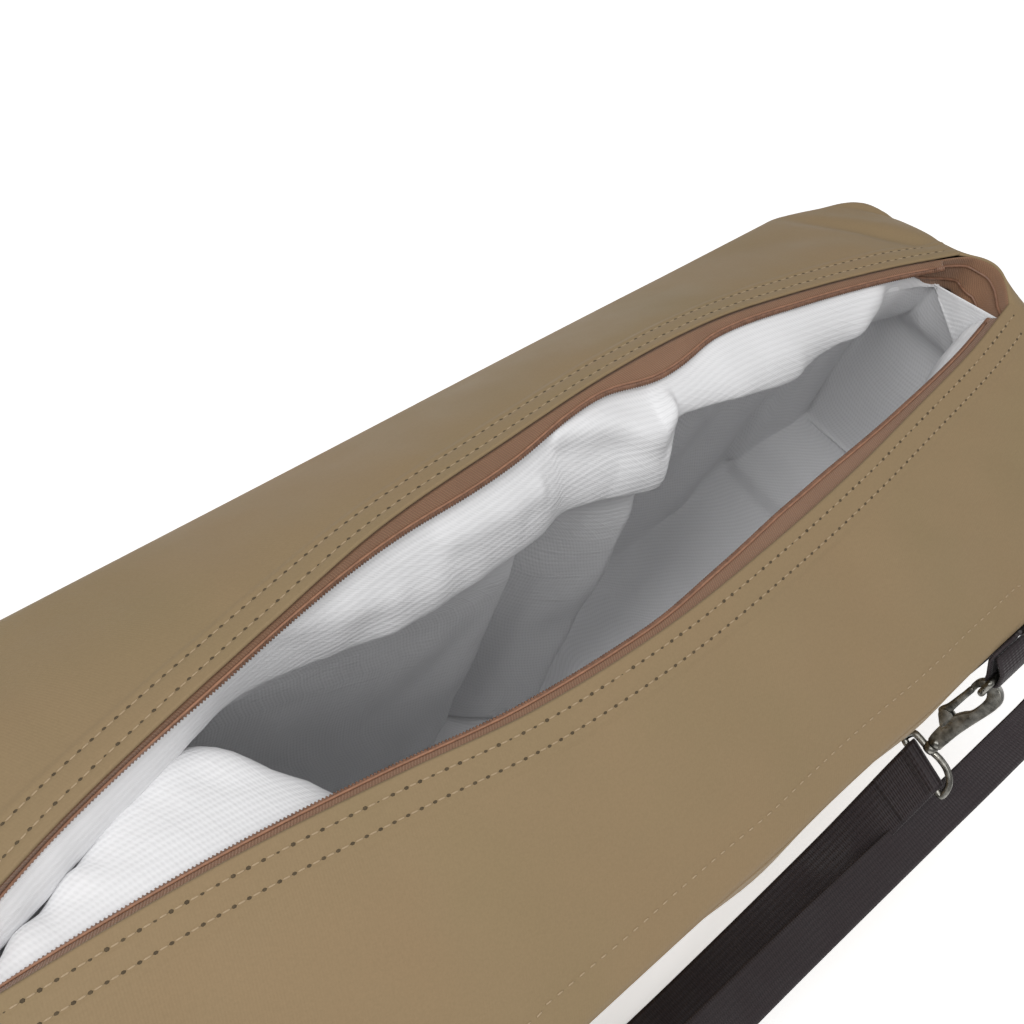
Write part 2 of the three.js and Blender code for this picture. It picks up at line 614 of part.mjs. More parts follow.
function dRing() {
  const curve = fractions(RING_STEPS).map((turn) => {
    const angle = Math.PI * (1 + turn);
    return new THREE.Vector3(RING_RADIUS * Math.cos(angle), 0, RING_RADIUS * Math.sin(angle));
  });
  const bar = RING_BAR_SHARES.map((share) => new THREE.Vector3(share * RING_RADIUS, 0, RING_NECK));
  const centres = [...curve, ...bar].map((point) => point.add(RING_CENTRE));
  return closedWire(centres, WIRE_RADIUS, WIRE_SIDES);
}

// Webbing tab: a loop round the D-ring's bar with both layers going up to the seam
function ringTab() {
  const [y, z] = [RING_CENTRE.y, RING_CENTRE.z + RING_NECK];
  const outer = WIRE_RADIUS + EYE_CLEARANCE + WEBBING;
  const shape = new THREE.Shape();
  shape.moveTo(TAB_BACK, TAB_TOP);
  shape.lineTo(TAB_BACK - 2 * WEBBING, TAB_TOP);
  shape.lineTo(y - outer, z + outer);
  shape.absarc(y, z, outer, Math.PI, 2 * Math.PI, false);
  shape.lineTo(TAB_BACK, z + 2 * outer);
  shape.holes = [roundHole(y, z, WIRE_RADIUS + EYE_CLEARANCE)];
  const settings = { depth: WEBBING_WIDTH, bevelEnabled: false, curveSegments: TAB_STEPS };
  const tab = new THREE.ExtrudeGeometry(shape, settings);
  const turn = new THREE.Matrix4().makeBasis(
    new THREE.Vector3(0, 1, 0), new THREE.Vector3(0, 0, 1), new THREE.Vector3(1, 0, 0));
  tab.applyMatrix4(turn).translate(RING_CENTRE.x - WEBBING_WIDTH / 2, 0, 0);
  return fromSolid(toSolid(tab));
}

// Strap: hangs from bail to bail, its ends folded round the bails and sewn down
function strap() {
  const bar = hookPoint(BAIL.along, BAIL.out);
  const sag = (bar.z - STRAP_BOTTOM) / bar.x ** 2;
  const eye = WIRE_RADIUS + STRAP_EYE_CLEARANCE;
  const outer = eye + WEBBING;
  const half = WEBBING / 2;
  const line = (share, offset) => {
    const x = bar.x * share;
    const slope = new THREE.Vector2(1, 2 * sag * x).normalize();
    return new THREE.Vector2(x - slope.y * offset, STRAP_BOTTOM + sag * x * x + slope.x * offset);
  };
  const shareAt = (length) => 1 - length / Math.hypot(1, 2 * sag * bar.x) / bar.x;
  const sewnShare = shareAt(STRAP_SEWN + outer);
  const lapShare = shareAt(STRAP_SEWN + outer - STRAP_LAP_TAPER);
  const eyeShare = shareAt(STRAP_EYE_TAPER);
  const single = fractions(STRAP_STEPS).map((share) => share * sewnShare);
  const lap = [line(lapShare, half + WEBBING), line(eyeShare, half + WEBBING)];
  const upper = [...single.map((share) => line(share, half)), ...lap];
  const lower = [...single.map((share) => line(share, -half)), line(eyeShare, -half)];
  const top = upper[upper.length - 1];
  const under = lower[lower.length - 1];
  const startAngle = Math.atan2(top.y - bar.z, top.x - bar.x);
  const endAngle = Math.atan2(under.y - bar.z, under.x - bar.x);
  const sweepAngle = (startAngle - endAngle + 4 * Math.PI) % (2 * Math.PI);
  const round = fractions(EYE_STEPS).map((turn) => {
    const angle = startAngle - turn * sweepAngle;
    return new THREE.Vector2(bar.x + outer * Math.cos(angle), bar.z + outer * Math.sin(angle));
  });
  const rightHalf = [...upper.slice(1), ...round, ...lower.slice(1).reverse()];
  const leftHalf = rightHalf.map((point) => new THREE.Vector2(-point.x, point.y)).reverse();
  const shape = new THREE.Shape([upper[0], ...rightHalf, lower[0], ...leftHalf].reverse());
  shape.holes = [bar.x, -bar.x].map((x) => roundHole(x, bar.z, eye));
  const settings = { depth: WEBBING_WIDTH, bevelEnabled: false, curveSegments: HOLE_STEPS };
  const band = new THREE.ExtrudeGeometry(shape, settings);
  const joined = fromSolid(toSolid(band));
  const position = joined.getAttribute('position');
  for (let i = 0; i < position.count; i += 1) {
    const [x, z] = [position.getX(i), position.getY(i)];
    const width = position.getZ(i) - WEBBING_WIDTH / 2;
    const near = 1 - ramp(Math.hypot(bar.x - Math.abs(x), bar.z - z), 0, STRAP_SKEW_REACH);
    const skew = HOOK_ALONG.clone().multiplyScalar(Math.tan(BAIL_TILT) * width * near);
    const y = lerp(STRAP_OUT, bar.y, near) - width;
    position.setXYZ(i, x + Math.sign(x) * skew.x, y, z + skew.z);
  }
  return joined;
}

// Handle: one band of webbing from leg to leg
function handle() {
  const leg = HANDLE_LEG.heights.map((z) => {
    const wall = wallPoint(-1, HANDLE_LEG.x / halfLength(z), z);
    return { x: wall.x, y: wall.y - HANDLE_LEG.gap - WEBBING / 2, z, wx: 1, wy: 0, wz: 0 };
  });
  const rightRows = [...leg, ...HANDLE_HALF];
  const leftRows = rightRows.slice(0, -1).reverse().map((row) => ({ ...row, x: -row.x, wx: -row.wx }));
  const rows = [...rightRows, ...leftRows];
  const middles = rows.map((row) => new THREE.Vector3(row.x, row.y, row.z));
  const path = new THREE.CatmullRomCurve3(middles, false, 'centripetal');
  const directions = rows.map((row) => new THREE.Vector3(row.wx, row.wy, row.wz));
  const widths = new THREE.CatmullRomCurve3(directions, false, 'catmullrom');
  const rings = fractions(HANDLE_STEPS).map((share) => {
    const centre = path.getPoint(share);
    const tangent = path.getTangent(share);
    const width = widths.getPoint(share);
    width.addScaledVector(tangent, -width.dot(tangent)).normalize();
    const face = tangent.clone().cross(width);
    const side = width.multiplyScalar(WEBBING_WIDTH / 2);
    const half = face.multiplyScalar(WEBBING / 2);
    return [
      centre.clone().sub(side).sub(half),
      centre.clone().sub(side).add(half),
      centre.clone().add(side).add(half),
      centre.clone().add(side).sub(half),
    ];
  });
  return sweep(rings);
}

addMesh('body_wrap', bodyWrap(), CANVAS_LOOK);
addMesh('top_front', topPanel(-1), CANVAS_LOOK);
addMesh('top_back', topPanel(1), CANVAS_LOOK);
addMesh('end_right', endPanel(1), CANVAS_LOOK);
addMesh('end_left', endPanel(-1), CANVAS_LOOK);
addMesh('lining', lining(), LINING_LOOK);
addMesh('zip_tape_front', zipTape(-1), TAPE_LOOK);
addMesh('zip_tape_back', zipTape(1), TAPE_LOOK);
addMesh('zip_coil_front', zipCoil(-1), COIL_LOOK);
addMesh('zip_coil_back', zipCoil(1), COIL_LOOK);
addMesh('zip_slider', zipSlider(), NICKEL_LOOK);
addMesh('ring_tab_right', ringTab(), WEBBING_LOOK);
addMesh('ring_tab_left', mirrored(ringTab()), WEBBING_LOOK);
addMesh('d_ring_right', dRing(), NICKEL_LOOK);
addMesh('d_ring_left', mirrored(dRing()), NICKEL_LOOK);
addMesh('hook_body', fromSolid(hookBody()), NICKEL_LOOK);
addMesh('hook_gate', hookGate(), NICKEL_LOOK);
addMesh('hook_bail', fromSolid(hookBail()), NICKEL_LOOK);
addMesh('hook_left', mirrored(fromSolid(plainHook())), NICKEL_LOOK);
addMesh('strap', strap(), WEBBING_LOOK);
addMesh('handle', handle(), WEBBING_LOOK);

export default group;
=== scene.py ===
"""Looks of a soft zip-top cooler bag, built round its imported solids.

Shape tables are in millimetres, as in the part's source; meshes are made in metres.
"""
import math

import bmesh
import bpy
import numpy as np
from mathutils import Matrix, Vector


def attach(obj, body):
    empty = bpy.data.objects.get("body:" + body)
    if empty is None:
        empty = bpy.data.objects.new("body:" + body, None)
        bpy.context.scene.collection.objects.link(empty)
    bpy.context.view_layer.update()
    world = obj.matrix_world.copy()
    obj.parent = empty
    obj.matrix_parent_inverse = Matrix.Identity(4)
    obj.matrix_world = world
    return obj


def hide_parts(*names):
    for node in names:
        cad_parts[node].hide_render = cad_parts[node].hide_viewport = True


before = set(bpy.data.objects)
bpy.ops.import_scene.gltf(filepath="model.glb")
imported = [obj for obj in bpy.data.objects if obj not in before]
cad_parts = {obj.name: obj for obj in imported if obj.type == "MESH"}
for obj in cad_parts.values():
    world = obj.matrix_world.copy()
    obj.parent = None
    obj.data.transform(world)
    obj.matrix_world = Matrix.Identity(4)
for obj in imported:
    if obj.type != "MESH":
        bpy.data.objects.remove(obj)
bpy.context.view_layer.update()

bl_info = {
    "name": "Cooler bag",
    "version": (1, 0, 0),
    "blender": (4, 5, 0),
    "location": "View3D > Sidebar > Bag",
    "description": "Builds a soft cooler bag with an open zip, a lining and clipped-on webbing",
    "category": "Object",
}

MM = 0.001
FRONT, BACK = -1, 1

# Canvas body, millimetres
RIDGE_HEIGHT = 265
EAVE_HEIGHT = 229
RIDGE_HALF_LENGTH = 308
EAVE_HALF_LENGTH = 342
BASE_HALF_LENGTH = 322
EAVE_HALF_WIDTH = 126
BASE_HALF_WIDTH = 103
BASE_EDGE_RADIUS = 14
CORNER_RADIUS = 34
CORNER_INSET = 24
WALL_BELLY = 1.5
TOP_CROWN = 5
TOP_PANEL_WIDTH = 66
CANVAS = 2.0
# The cloth shows a little thinner than its solid; its cut edges stand out by this share of that
CANVAS_SHOWN = CANVAS - 0.3
EDGE_ROUND = 0.45
SEAM_GAP = 0.5
# End panels: bulge, how far the top edge bows out and up as shares of the opening's width there, how late the
# panel bends to it, lowest point
END_BULGE = 9
END_LIP = 0.27
END_LIP_RISE = 0.1
END_LIP_POWER = 6
END_FOOT = 0.9

# Zip opening: x, front fold y and rise above the ridge, back fold y and rise
MOUTH = np.array([
    (-308, -5.5, 0, 5, 0), (-240, -10, 2, 26, 4), (-190, -15, 4, 37, 8), (-130, -24, 5, 48, 12),
    (-70, -34, 5, 58, 15), (0, -38, 5, 63, 16), (70, -35.5, 4, 67, 16), (140, -30, 3, 66, 14),
    (200, -23, 3, 58, 11), (260, -15.5, 4, 45, 10), (308, -6.5, 6, 31, 10)], dtype=float)
MOUTH_COLUMNS = {FRONT: (1, 2), BACK: (3, 4)}

# Creases of the top panels: side, x and share across at both ends, depth, width
CREASES = [
    (BACK, 291, 1, 303, 0.22, 4.5, 8), (BACK, 327, 1, 338, 0.65, 3.5, 5), (BACK, 225, 1, 292, 0.3, 1.6, 12)]
# Raised corners of the top panels: side, x, share across, half length, half width as a share, height; the
# wall below follows from that height up
BUMPS = [(BACK, 346, 1.0, 20, 0.36, 11)]
BUMP_FROM = 170

# Swells of the walls: side, x, z, half width, half height, how far out
SWELLS = [(FRONT, 112, 205, 28, 22, 2.5), (FRONT, -5, 202, 28, 24, 3),
          (BACK, 60, 120, 120, 60, 5), (BACK, -150, 120, 90, 60, 4)]
# How far the back wall draws in at its top right corner, and where that begins and is full
CORNER_DRAW = 8
CORNER_DRAW_X = (285, 330)
CORNER_DRAW_Z = (150, EAVE_HEIGHT)

# Soft waves of the cloth: how many make a ripple, how their lengths spread and what their sum is divided by;
# then for each kind of cloth height, length, seed and how much going up counts
RIPPLE_WAVES = 7
RIPPLE_SPREAD = (0.6, 1.6)
RIPPLE_SHARE = 4
WAVES = {
    "top": [(0.9, 95, 3, 1), (0.35, 34, 11, 1)],
    "hem": [(0.12, 9, 21, 1)],
    "wrap": [(1.0, 120, 5, 0.45), (0.5, 45, 8, 0.6)],
    "end": [(0.8, 85, 31, 1), (0.3, 36, 41, 1)],
    "lining": [(1.0, 48, 51, 1), (0.55, 23, 57, 0.7)]}
# Where the canvas begins to wave and does so freely: off the fold and the outer edge, above the base and
# below the eave. Between two heights the front wall is drawn flat by what is sewn to it. The outer edge dips
SLACK_OFF_FOLD = (6, 30)
SLACK_OFF_EDGE = (2, 25)
SLACK_OFF_BASE = (4, 40)
SLACK_OFF_EAVE = (0, 30)
FRONT_HELD = (60, 130)
EDGE_DIP = 1.0
EDGE_DIP_WIDTH = 3.0

# Hem and sewing of the top panels; rows are measured off the fold, the edge row off the outer edge
HEM_WIDTH = 18
HEM_MARGIN = 4
HEM_LIFT = 0.55
HEM_STEP = 1.5
HEM_PUCKER = 6
STITCH_ROWS = (5.2, 14.2)
STITCH_SINK = 0.32
STITCH_SINK_WIDTH = 1.1
STITCH_PITCH = 5.6
STITCH_END = 6
EDGE_ROW = 14.5
# Length, width and height of a stitch, the length as a share of the pitch, at the hem the others as shares of
# the thread; then of the dark disc painted as the shade in a needle hole, and how far up each lies
HEM_STITCH = (0.66, 1.3, 0.7)
EDGE_STITCH = (0.62, 0.75, 0.5)
NEEDLE_HOLE = (1.9, 1.5, 0.24)
HEM_STITCH_UP, EDGE_STITCH_UP, NEEDLE_HOLE_UP = 0.02, 0.1, 0.03

# Zip
TAPE_TUCK = 9
TAPE = 0.8
TAPE_END = 0.965
FLAP_SHARE = 0.2
COIL_RADIUS = 1.5
ZIP_GAP = 0.4
# Tape along the opening: x, then lean in degrees and visible width for the front and for the back
TAPE_ROWS = np.array([
    (-308, 10, 11, 0, 13), (-250, 45, 6, 5, 4), (-200, 55, 5, 10, 3), (-160, 60, 5, 32, 3),
    (-120, 62, 5, 36, 3), (-60, 65, 5, 40, 6), (-25, 65, 5, 42, 8), (5, 65, 5, 45, 7.5), (38, 65, 7, 47, 4.5),
    (62, 65, 8, 52, 4.5), (92, 65, 9.5, 58, 10), (112, 65, 9.5, 58, 9.5), (140, 65, 9, 52, 5),
    (200, 60, 6, 45, 4), (308, 40, 5, 40, 3.5)], dtype=float)
TAPE_COLUMNS = {FRONT: (1, 2), BACK: (3, 4)}
# Tooth: length, share of the pitch, height. The light cord lies up and off from the core of the teeth
TOOTH = (3.6, 0.86, 2.7)
CORE_RADIUS = 0.95
CORD_RADIUS = 0.5
CORD_UP = 1.2
CORD_OFF = 1.0
# Tape across the closed left end
CLOSED_END_X = (-311, -282)
CLOSED_END_HALF = 9
CLOSED_END_HEIGHT = 246
CLOSED_END_CROWN = 0.02
# Tape turned round the right end: places on the back tape, then shares along the end panel's lip, and how
# far it keeps off both; its depth first and full, what it loses at the far end, belly and lean inward, and
# the shares of its length along which these set in
TURN_FROM = (0.86, 0.90, 0.935)
TURN_LIP = (0.84, 0.7, 0.5, 0.3, 0.14, 0.04, -0.04)
TURN_OFF_TAPE = 1.1
TURN_OFF_LIP = (1.8, 0, 1.0)
TURN_DEPTH = (4.0, 25.0)
TURN_LOST = 8
TURN_BELLY = 2.0
TURN_LEAN = 0.4
TURN_DEEPENS, TURN_FADES, TURN_LEANS = (0.05, 0.4), (0.8, 1), (0.3, 0.5)
END_CORD_ROWS = (3, 9)
END_CORD_OFF = 0.6
END_CORD_RADIUS = 0.8

# Lining
LINING = 1.2
LINING_SHOWN = LINING - 0.2
LINING_OVERLAP = 3
LINING_CLEARANCE = 4
LINING_END_CLEARANCE = 6

# Webbing and strap hardware
WEBBING_WIDTH = 25
WEBBING = 1.8
WEBBING_EDGE_INSET = 0.3
WEBBING_EDGE_THIN = 0.25
WIRE_RADIUS = 1.8
HOOK_TOP = np.array((167.0, -138.0, 205.0))
HOOK_LEAN = math.radians(27)
HOOK_HALF_THICK = 3.2
HOOK_CHEEK = 0.9
HOOK_ROUND, GATE_ROUND, CHEEK_ROUND, SLIDER_ROUND = 1.5, 0.8, 0.3, 0.7
GATE_HALF_THICK = 1.8
SWIVEL_OUT = -2.2
BAIL_ALONG, BAIL_OUT, BAIL_TILT, BAIL_HALF_WIDTH = 56, 1.5, math.radians(15), 15.8
# D-ring: radius, height of its bar, inset and height of its corners, where its wire lies in the hook
RING_RADIUS = 14.8
RING_NECK = 2
RING_CORNER = [(0, 0.9), (0.5, 1.7)]
RING_BAR_SHARE = 0.92
RING_IN_HOOK = (7.5, -3.6)
TAB_TOP = 226
TAB_BACK = -126.4
TAB_ROOM = 0.5
TAB_LOOP_RISE = 0.9
STRAP_BOTTOM = 16
STRAP_OUT = -140.5
STRAP_SEWN = 21
STRAP_SKEW_REACH = 70
STRAP_EYE = 6.0
STRAP_EYE_ROOM = 0.8
STRAP_LAP_GAP = 0.1
STRAP_TURN = (0.06, 0.94)

# Fineness of the canvas meshes: columns near the fold and beyond it, steps along a panel
PANEL_COLUMNS = 40
PANEL_STEPS, SEWN_STEPS, WRAP_STEPS = 260, 700, 190
# A direction that no wire runs along
TUBE_FIRST_ACROSS = np.array((0.3, 0.5, 0.81))


# Small number helpers
def curve_through(rows, column, x):
    """A table column at any x, on a smooth curve through its rows."""
    xs, ys = rows[:, 0], rows[:, column]
    slopes = np.empty_like(ys)
    slopes[1:-1] = (ys[2:] - ys[:-2]) / (xs[2:] - xs[:-2])
    slopes[0] = (ys[1] - ys[0]) / (xs[1] - xs[0])
    slopes[-1] = (ys[-1] - ys[-2]) / (xs[-1] - xs[-2])
    x = np.clip(x, xs[0], xs[-1])
    i = np.clip(np.searchsorted(xs, x) - 1, 0, len(xs) - 2)
    span = xs[i + 1] - xs[i]
    t = (x - xs[i]) / span
    start = (1 + 2 * t) * (1 - t) ** 2 * ys[i] + t * (1 - t) ** 2 * span * slopes[i]
    return start + t * t * (3 - 2 * t) * ys[i + 1] + t * t * (t - 1) * span * slopes[i + 1]


def ramp(x, low, high):
    t = np.clip((x - low) / (high - low), 0, 1)
    return t * t * (3 - 2 * t)


def bell(distance, half):
    return np.exp(-(distance / half) ** 2)


def mix(a, b, share):
    return a + (b - a) * share


def points3(x, y, z):
    return np.stack(np.broadcast_arrays(x, y, z), axis=-1).astype(float)


def unit(vectors):
    return vectors / np.maximum(np.linalg.norm(vectors, axis=-1, keepdims=True), 1e-9)


def ripple(points, size, seed):
    """Soft waves of about that size in millimetres, between -1 and 1, the same on every run."""
    rng = np.random.default_rng(seed)
    total = np.zeros(points.shape[:-1])
    for _ in range(RIPPLE_WAVES):
        direction = unit(rng.normal(size=3)) * (2 * math.pi / size) * rng.uniform(*RIPPLE_SPREAD)
        total += np.sin(points @ direction + rng.uniform(0, 2 * math.pi))
    return total / RIPPLE_SHARE


def waves(kind, points, turn=0):
    """The soft waves of one kind of cloth at those points, millimetres."""
    return sum(height * ripple(points * (1, 1, upright), size, seed + turn)
               for height, size, seed, upright in WAVES[kind])


def smooth_rows(grid, steps):
    """More rows on a smooth curve through the rows of a grid."""
    rows = len(grid)
    padded = np.concatenate([2 * grid[:1] - grid[1:2], grid, 2 * grid[-1:] - grid[-2:-1]])
    made = []
    for i in range(rows - 1):
        p0, p1, p2, p3 = padded[i:i + 4]
        for t in np.linspace(0, 1, steps, endpoint=False):
            made.append(0.5 * (2 * p1 + (p2 - p0) * t + (2 * p0 - 5 * p1 + 4 * p2 - p3) * t * t
                               + (3 * p1 - p0 - 3 * p2 + p3) * t ** 3))
    return np.stack([*made, grid[-1]])


def smooth_line(points, steps, closed=False):
    """A centripetal curve through points."""
    p = np.asarray(points, dtype=float)
    if closed:
        padded = np.concatenate([p[-1:], p, p[:2]])
    else:
        padded = np.concatenate([2 * p[:1] - p[1:2], p, 2 * p[-1:] - p[-2:-1]])
    made = []
    for i in range(len(padded) - 3):
        p0, p1, p2, p3 = padded[i:i + 4]
        d0, d1, d2 = (max(np.linalg.norm(b - a) ** 0.5, 1e-6) for a, b in ((p0, p1), (p1, p2), (p2, p3)))
        m1 = ((p1 - p0) / d0 - (p2 - p0) / (d0 + d1) + (p2 - p1) / d1) * d1
        m2 = ((p2 - p1) / d1 - (p3 - p1) / (d1 + d2) + (p3 - p2) / d2) * d1
        for t in np.linspace(0, 1, steps, endpoint=False):
            made.append((2 * t ** 3 - 3 * t ** 2 + 1) * p1 + (t ** 3 - 2 * t ** 2 + t) * m1
                        + (3 * t ** 2 - 2 * t ** 3) * p2 + (t ** 3 - t ** 2) * m2)
    if not closed:
        made.append(p[-1])
    return np.array(made)


# Shapes of the canvas
def half_length(z):
    return mix(BASE_HALF_LENGTH, EAVE_HALF_LENGTH, z / EAVE_HEIGHT)


def half_width(z):
    under = np.maximum(BASE_EDGE_RADIUS - z, 0)
    belly = WALL_BELLY * np.sin(np.pi * z / EAVE_HEIGHT)
    round_edge = np.sqrt(np.maximum(BASE_EDGE_RADIUS ** 2 - under ** 2, 0)) - BASE_EDGE_RADIUS
    return mix(BASE_HALF_WIDTH, EAVE_HALF_WIDTH, z / EAVE_HEIGHT) + belly + round_edge


def wall_point(side, s, z):
    x = s * half_length(z)
    past = np.maximum(np.abs(x) - (half_length(z) - CORNER_RADIUS), 0) / CORNER_RADIUS
    out = half_width(z) - CORNER_INSET * (1 - np.sqrt(np.maximum(1 - past ** 2, 0)))
    for row_side, row_x, row_z, wide, tall, amount in SWELLS:
        if row_side == side:
            out = out + amount * bell(x - row_x, wide) * bell(z - row_z, tall)
    if side == BACK:
        out = out - CORNER_DRAW * ramp(x, *CORNER_DRAW_X) * ramp(z, *CORNER_DRAW_Z)
    return points3(x, side * out, z)


def crease_depth(side, x, across):
    depth = 0.0
    for row_side, x0, across0, x1, across1, deep, width in CREASES:
        if row_side == side:
            a = np.array((x0, across0 * TOP_PANEL_WIDTH))
            line = np.array((x1, across1 * TOP_PANEL_WIDTH)) - a
            px, py = x - a[0], across * TOP_PANEL_WIDTH - a[1]
            t = np.clip((px * line[0] + py * line[1]) / (line @ line), 0, 1)
            depth = depth + deep * bell(np.hypot(px - t * line[0], py - t * line[1]), width)
    return depth


def corner_rise(side, x, across):
    rise = 0.0
    for row_side, row_x, row_across, long, wide, height in BUMPS:
        if row_side == side:
            rise = rise + height * bell(x - row_x, long) * bell(across - row_across, wide)
    return rise


def fold_point(side, s):
    x = s * RIDGE_HALF_LENGTH
    y_column, rise_column = MOUTH_COLUMNS[side]
    return points3(x, curve_through(MOUTH, y_column, x), RIDGE_HEIGHT + curve_through(MOUTH, rise_column, x))


def top_point(side, s, across):
    fold, eave = fold_point(side, s), wall_point(side, s, np.full_like(s, EAVE_HEIGHT))
    point = mix(fold, eave, across[..., None])
    point[..., 2] += np.sin(np.pi * across) * (TOP_CROWN - crease_depth(side, point[..., 0], across))
    point[..., 2] += corner_rise(side, point[..., 0], across)
    return point


def tape_frame(side, s):
    """Bend of the zip tape under the fold, its hanging direction and the direction away from the mouth."""
    fold = fold_point(side, s)
    flap = top_point(side, s, np.full_like(s, FLAP_SHARE)) - fold
    flap[..., 0] = 0
    flap = unit(flap)
    under = points3(0, -side * flap[..., 2], side * flap[..., 1]) * -(CANVAS + ZIP_GAP)
    lean_column, width_column = TAPE_COLUMNS[side]
    lean = np.radians(curve_through(TAPE_ROWS, lean_column, fold[..., 0]))
    width = curve_through(TAPE_ROWS, width_column, fold[..., 0])[..., None]
    hang = points3(0 * lean, -side * np.sin(lean), -np.cos(lean))
    away = points3(0 * lean, side * np.cos(lean), -np.sin(lean))
    return fold + under, flap, hang, away, width


# Meshes
def finish_mesh(name, mesh, material, smooth=True):
    piece = bpy.data.objects.new(name, mesh)
    bpy.context.scene.collection.objects.link(piece)
    mesh.materials.append(material)
    if smooth:
        mesh.shade_smooth()
    return piece


def mesh_from(name, points, faces, material, uv=None, smooth=True):
    mesh = bpy.data.meshes.new(name)
    mesh.from_pydata((np.asarray(points) * MM).tolist(), [], faces)
    if uv is not None:
        layer = mesh.uv_layers.new(name="cloth")
        index = np.empty(len(mesh.loops), dtype=np.int64)
        mesh.loops.foreach_get("vertex_index", index)
        layer.data.foreach_set("uv", np.asarray(uv, dtype=np.float32)[index].ravel())
    mesh.validate()
    mesh.update()
    return finish_mesh(name, mesh, material, smooth)


def grid_normals(grid, closed=False):
    if closed:
        ring = np.concatenate([grid[:, -1:], grid, grid[:, :1]], axis=1)
        across = ring[:, 2:] - ring[:, :-2]
    else:
        across = np.gradient(grid, axis=1)
    return unit(np.cross(np.gradient(grid, axis=0), across))


def cloth_uv(grid):
    """Lengths along the cloth both ways, in metres."""
    u = np.cumsum(np.linalg.norm(np.diff(grid, axis=0, prepend=grid[:1]), axis=-1), axis=0)
    v = np.cumsum(np.linalg.norm(np.diff(grid, axis=1, prepend=grid[:, :1]), axis=-1), axis=1)
    return np.stack([u, v], axis=-1) * MM


def thick_sheet(name, grid, thickness, material, outward=1, closed=False):
    """A closed wall from a grid of outer points, with its edges rounded."""
    rows, columns = grid.shape[:2]
    normal = grid_normals(grid, closed) * outward
    back = grid - normal * thickness
    count = rows * columns
    flat, flat_back = grid.reshape(-1, 3), back.reshape(-1, 3)
    points = np.concatenate([flat, flat_back])
    uv = cloth_uv(grid).reshape(-1, 2)
    uv = np.concatenate([uv, uv])
    r, c = np.meshgrid(np.arange(rows - 1), np.arange(columns if closed else columns - 1), indexing="ij")
    nxt = (c + 1) % columns
    quads = np.stack([r * columns + c, (r + 1) * columns + c, (r + 1) * columns + nxt, r * columns + nxt], -1)
    quads = quads.reshape(-1, 4)
    if outward < 0:
        quads = quads[:, ::-1]
    faces = quads.tolist() + (quads[:, ::-1] + count).tolist()
    if closed:
        loops = [np.arange(columns), (rows - 1) * columns + np.arange(columns)[::-1]]
    else:
        top = np.arange(columns)
        right = np.arange(rows) * columns + columns - 1
        loops = [np.concatenate([top[:-1], right[:-1], (rows - 1) * columns + top[:0:-1],
                                 np.arange(rows - 1, 0, -1) * columns])]
    for loop in loops:
        middle = (flat[loop] + flat_back[loop]) / 2
        along = flat[np.roll(loop, -1)] - flat[np.roll(loop, 1)]
        side = unit(np.cross(along, flat_back[loop] - flat[loop]))
        start = len(points)
        points = np.concatenate([points, middle + side * outward * thickness * EDGE_ROUND])
        uv = np.concatenate([uv, uv[loop]])
        rim = start + np.arange(len(loop))
        for i in range(len(loop)):
            j = (i + 1) % len(loop)
            a = [loop[i], loop[j], rim[j], rim[i]]
            b = [rim[i], rim[j], loop[j] + count, loop[i] + count]
            faces += [[int(k) for k in (f if outward > 0 else f[::-1])] for f in (a, b)]
    return mesh_from(name, points, faces, material, uv)


def ring_faces(rows, columns, closed=False):
    """Faces between rings of points; the first and last ring are capped, or joined if closed."""
    faces = []
    for r in range(rows if closed else rows - 1):
        n = (r + 1) % rows
        faces += [[r * columns + c, r * columns + (c + 1) % columns, n * columns + (c + 1) % columns,
                   n * columns + c] for c in range(columns)]
    if not closed:
        faces += [list(range(columns))[::-1], [(rows - 1) * columns + c for c in range(columns)]]
    return faces


def face_outward(piece):
    mesh = bmesh.new()
    mesh.from_mesh(piece.data)
    bmesh.ops.recalc_face_normals(mesh, faces=mesh.faces)
    mesh.to_mesh(piece.data)
    mesh.free()
    return piece


def tube(name, centres, radius, material, sides=12, closed=False):
    """A round wire along points, its section kept from turning."""
    centres = np.asarray(centres, dtype=float)
    if closed:
        tangent = unit(np.roll(centres, -1, 0) - np.roll(centres, 1, 0))
    else:
        tangent = unit(np.gradient(centres, axis=0))
    across = TUBE_FIRST_ACROSS
    rings = []
    turn = np.linspace(0, 2 * math.pi, sides, endpoint=False)
    for centre, along in zip(centres, tangent):
        across = unit(across - along * (across @ along))
        up = np.cross(along, across)
        rings.append(centre + radius * (np.cos(turn)[:, None] * across + np.sin(turn)[:, None] * up))
    return mesh_from(name, np.concatenate(rings), ring_faces(len(rings), sides, closed), material)


def joined(name, pieces):
    """One mesh from several pieces, which are removed."""
    target = pieces[0]
    with bpy.context.temp_override(active_object=target, selected_editable_objects=pieces,
                                   selected_objects=pieces, object=target):
        bpy.ops.object.join()
    target.name = name
    target.data.name = name
    return target


def applied(piece):
    """The piece with its modifiers made part of its mesh."""
    graph = bpy.context.evaluated_depsgraph_get()
    mesh = bpy.data.meshes.new_from_object(piece.evaluated_get(graph))
    piece.modifiers.clear()
    old = piece.data
    piece.data = mesh
    bpy.data.meshes.remove(old)
    mesh.name = piece.name
    return piece


def bevelled(piece, width, segments=3, angle=35):
    bevel = piece.modifiers.new("round", "BEVEL")
    bevel.width = width * MM
    bevel.segments = segments
    bevel.limit_method = "ANGLE"
    bevel.angle_limit = math.radians(angle)
    bevel.harden_normals = False
    return applied(piece)


def settle(piece, body, slot, *nodes):
    """Puts a finished piece on its body and in place of its solids; its slot is not used."""
    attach(piece, body)
    if nodes:
        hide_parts(*nodes)
    return piece


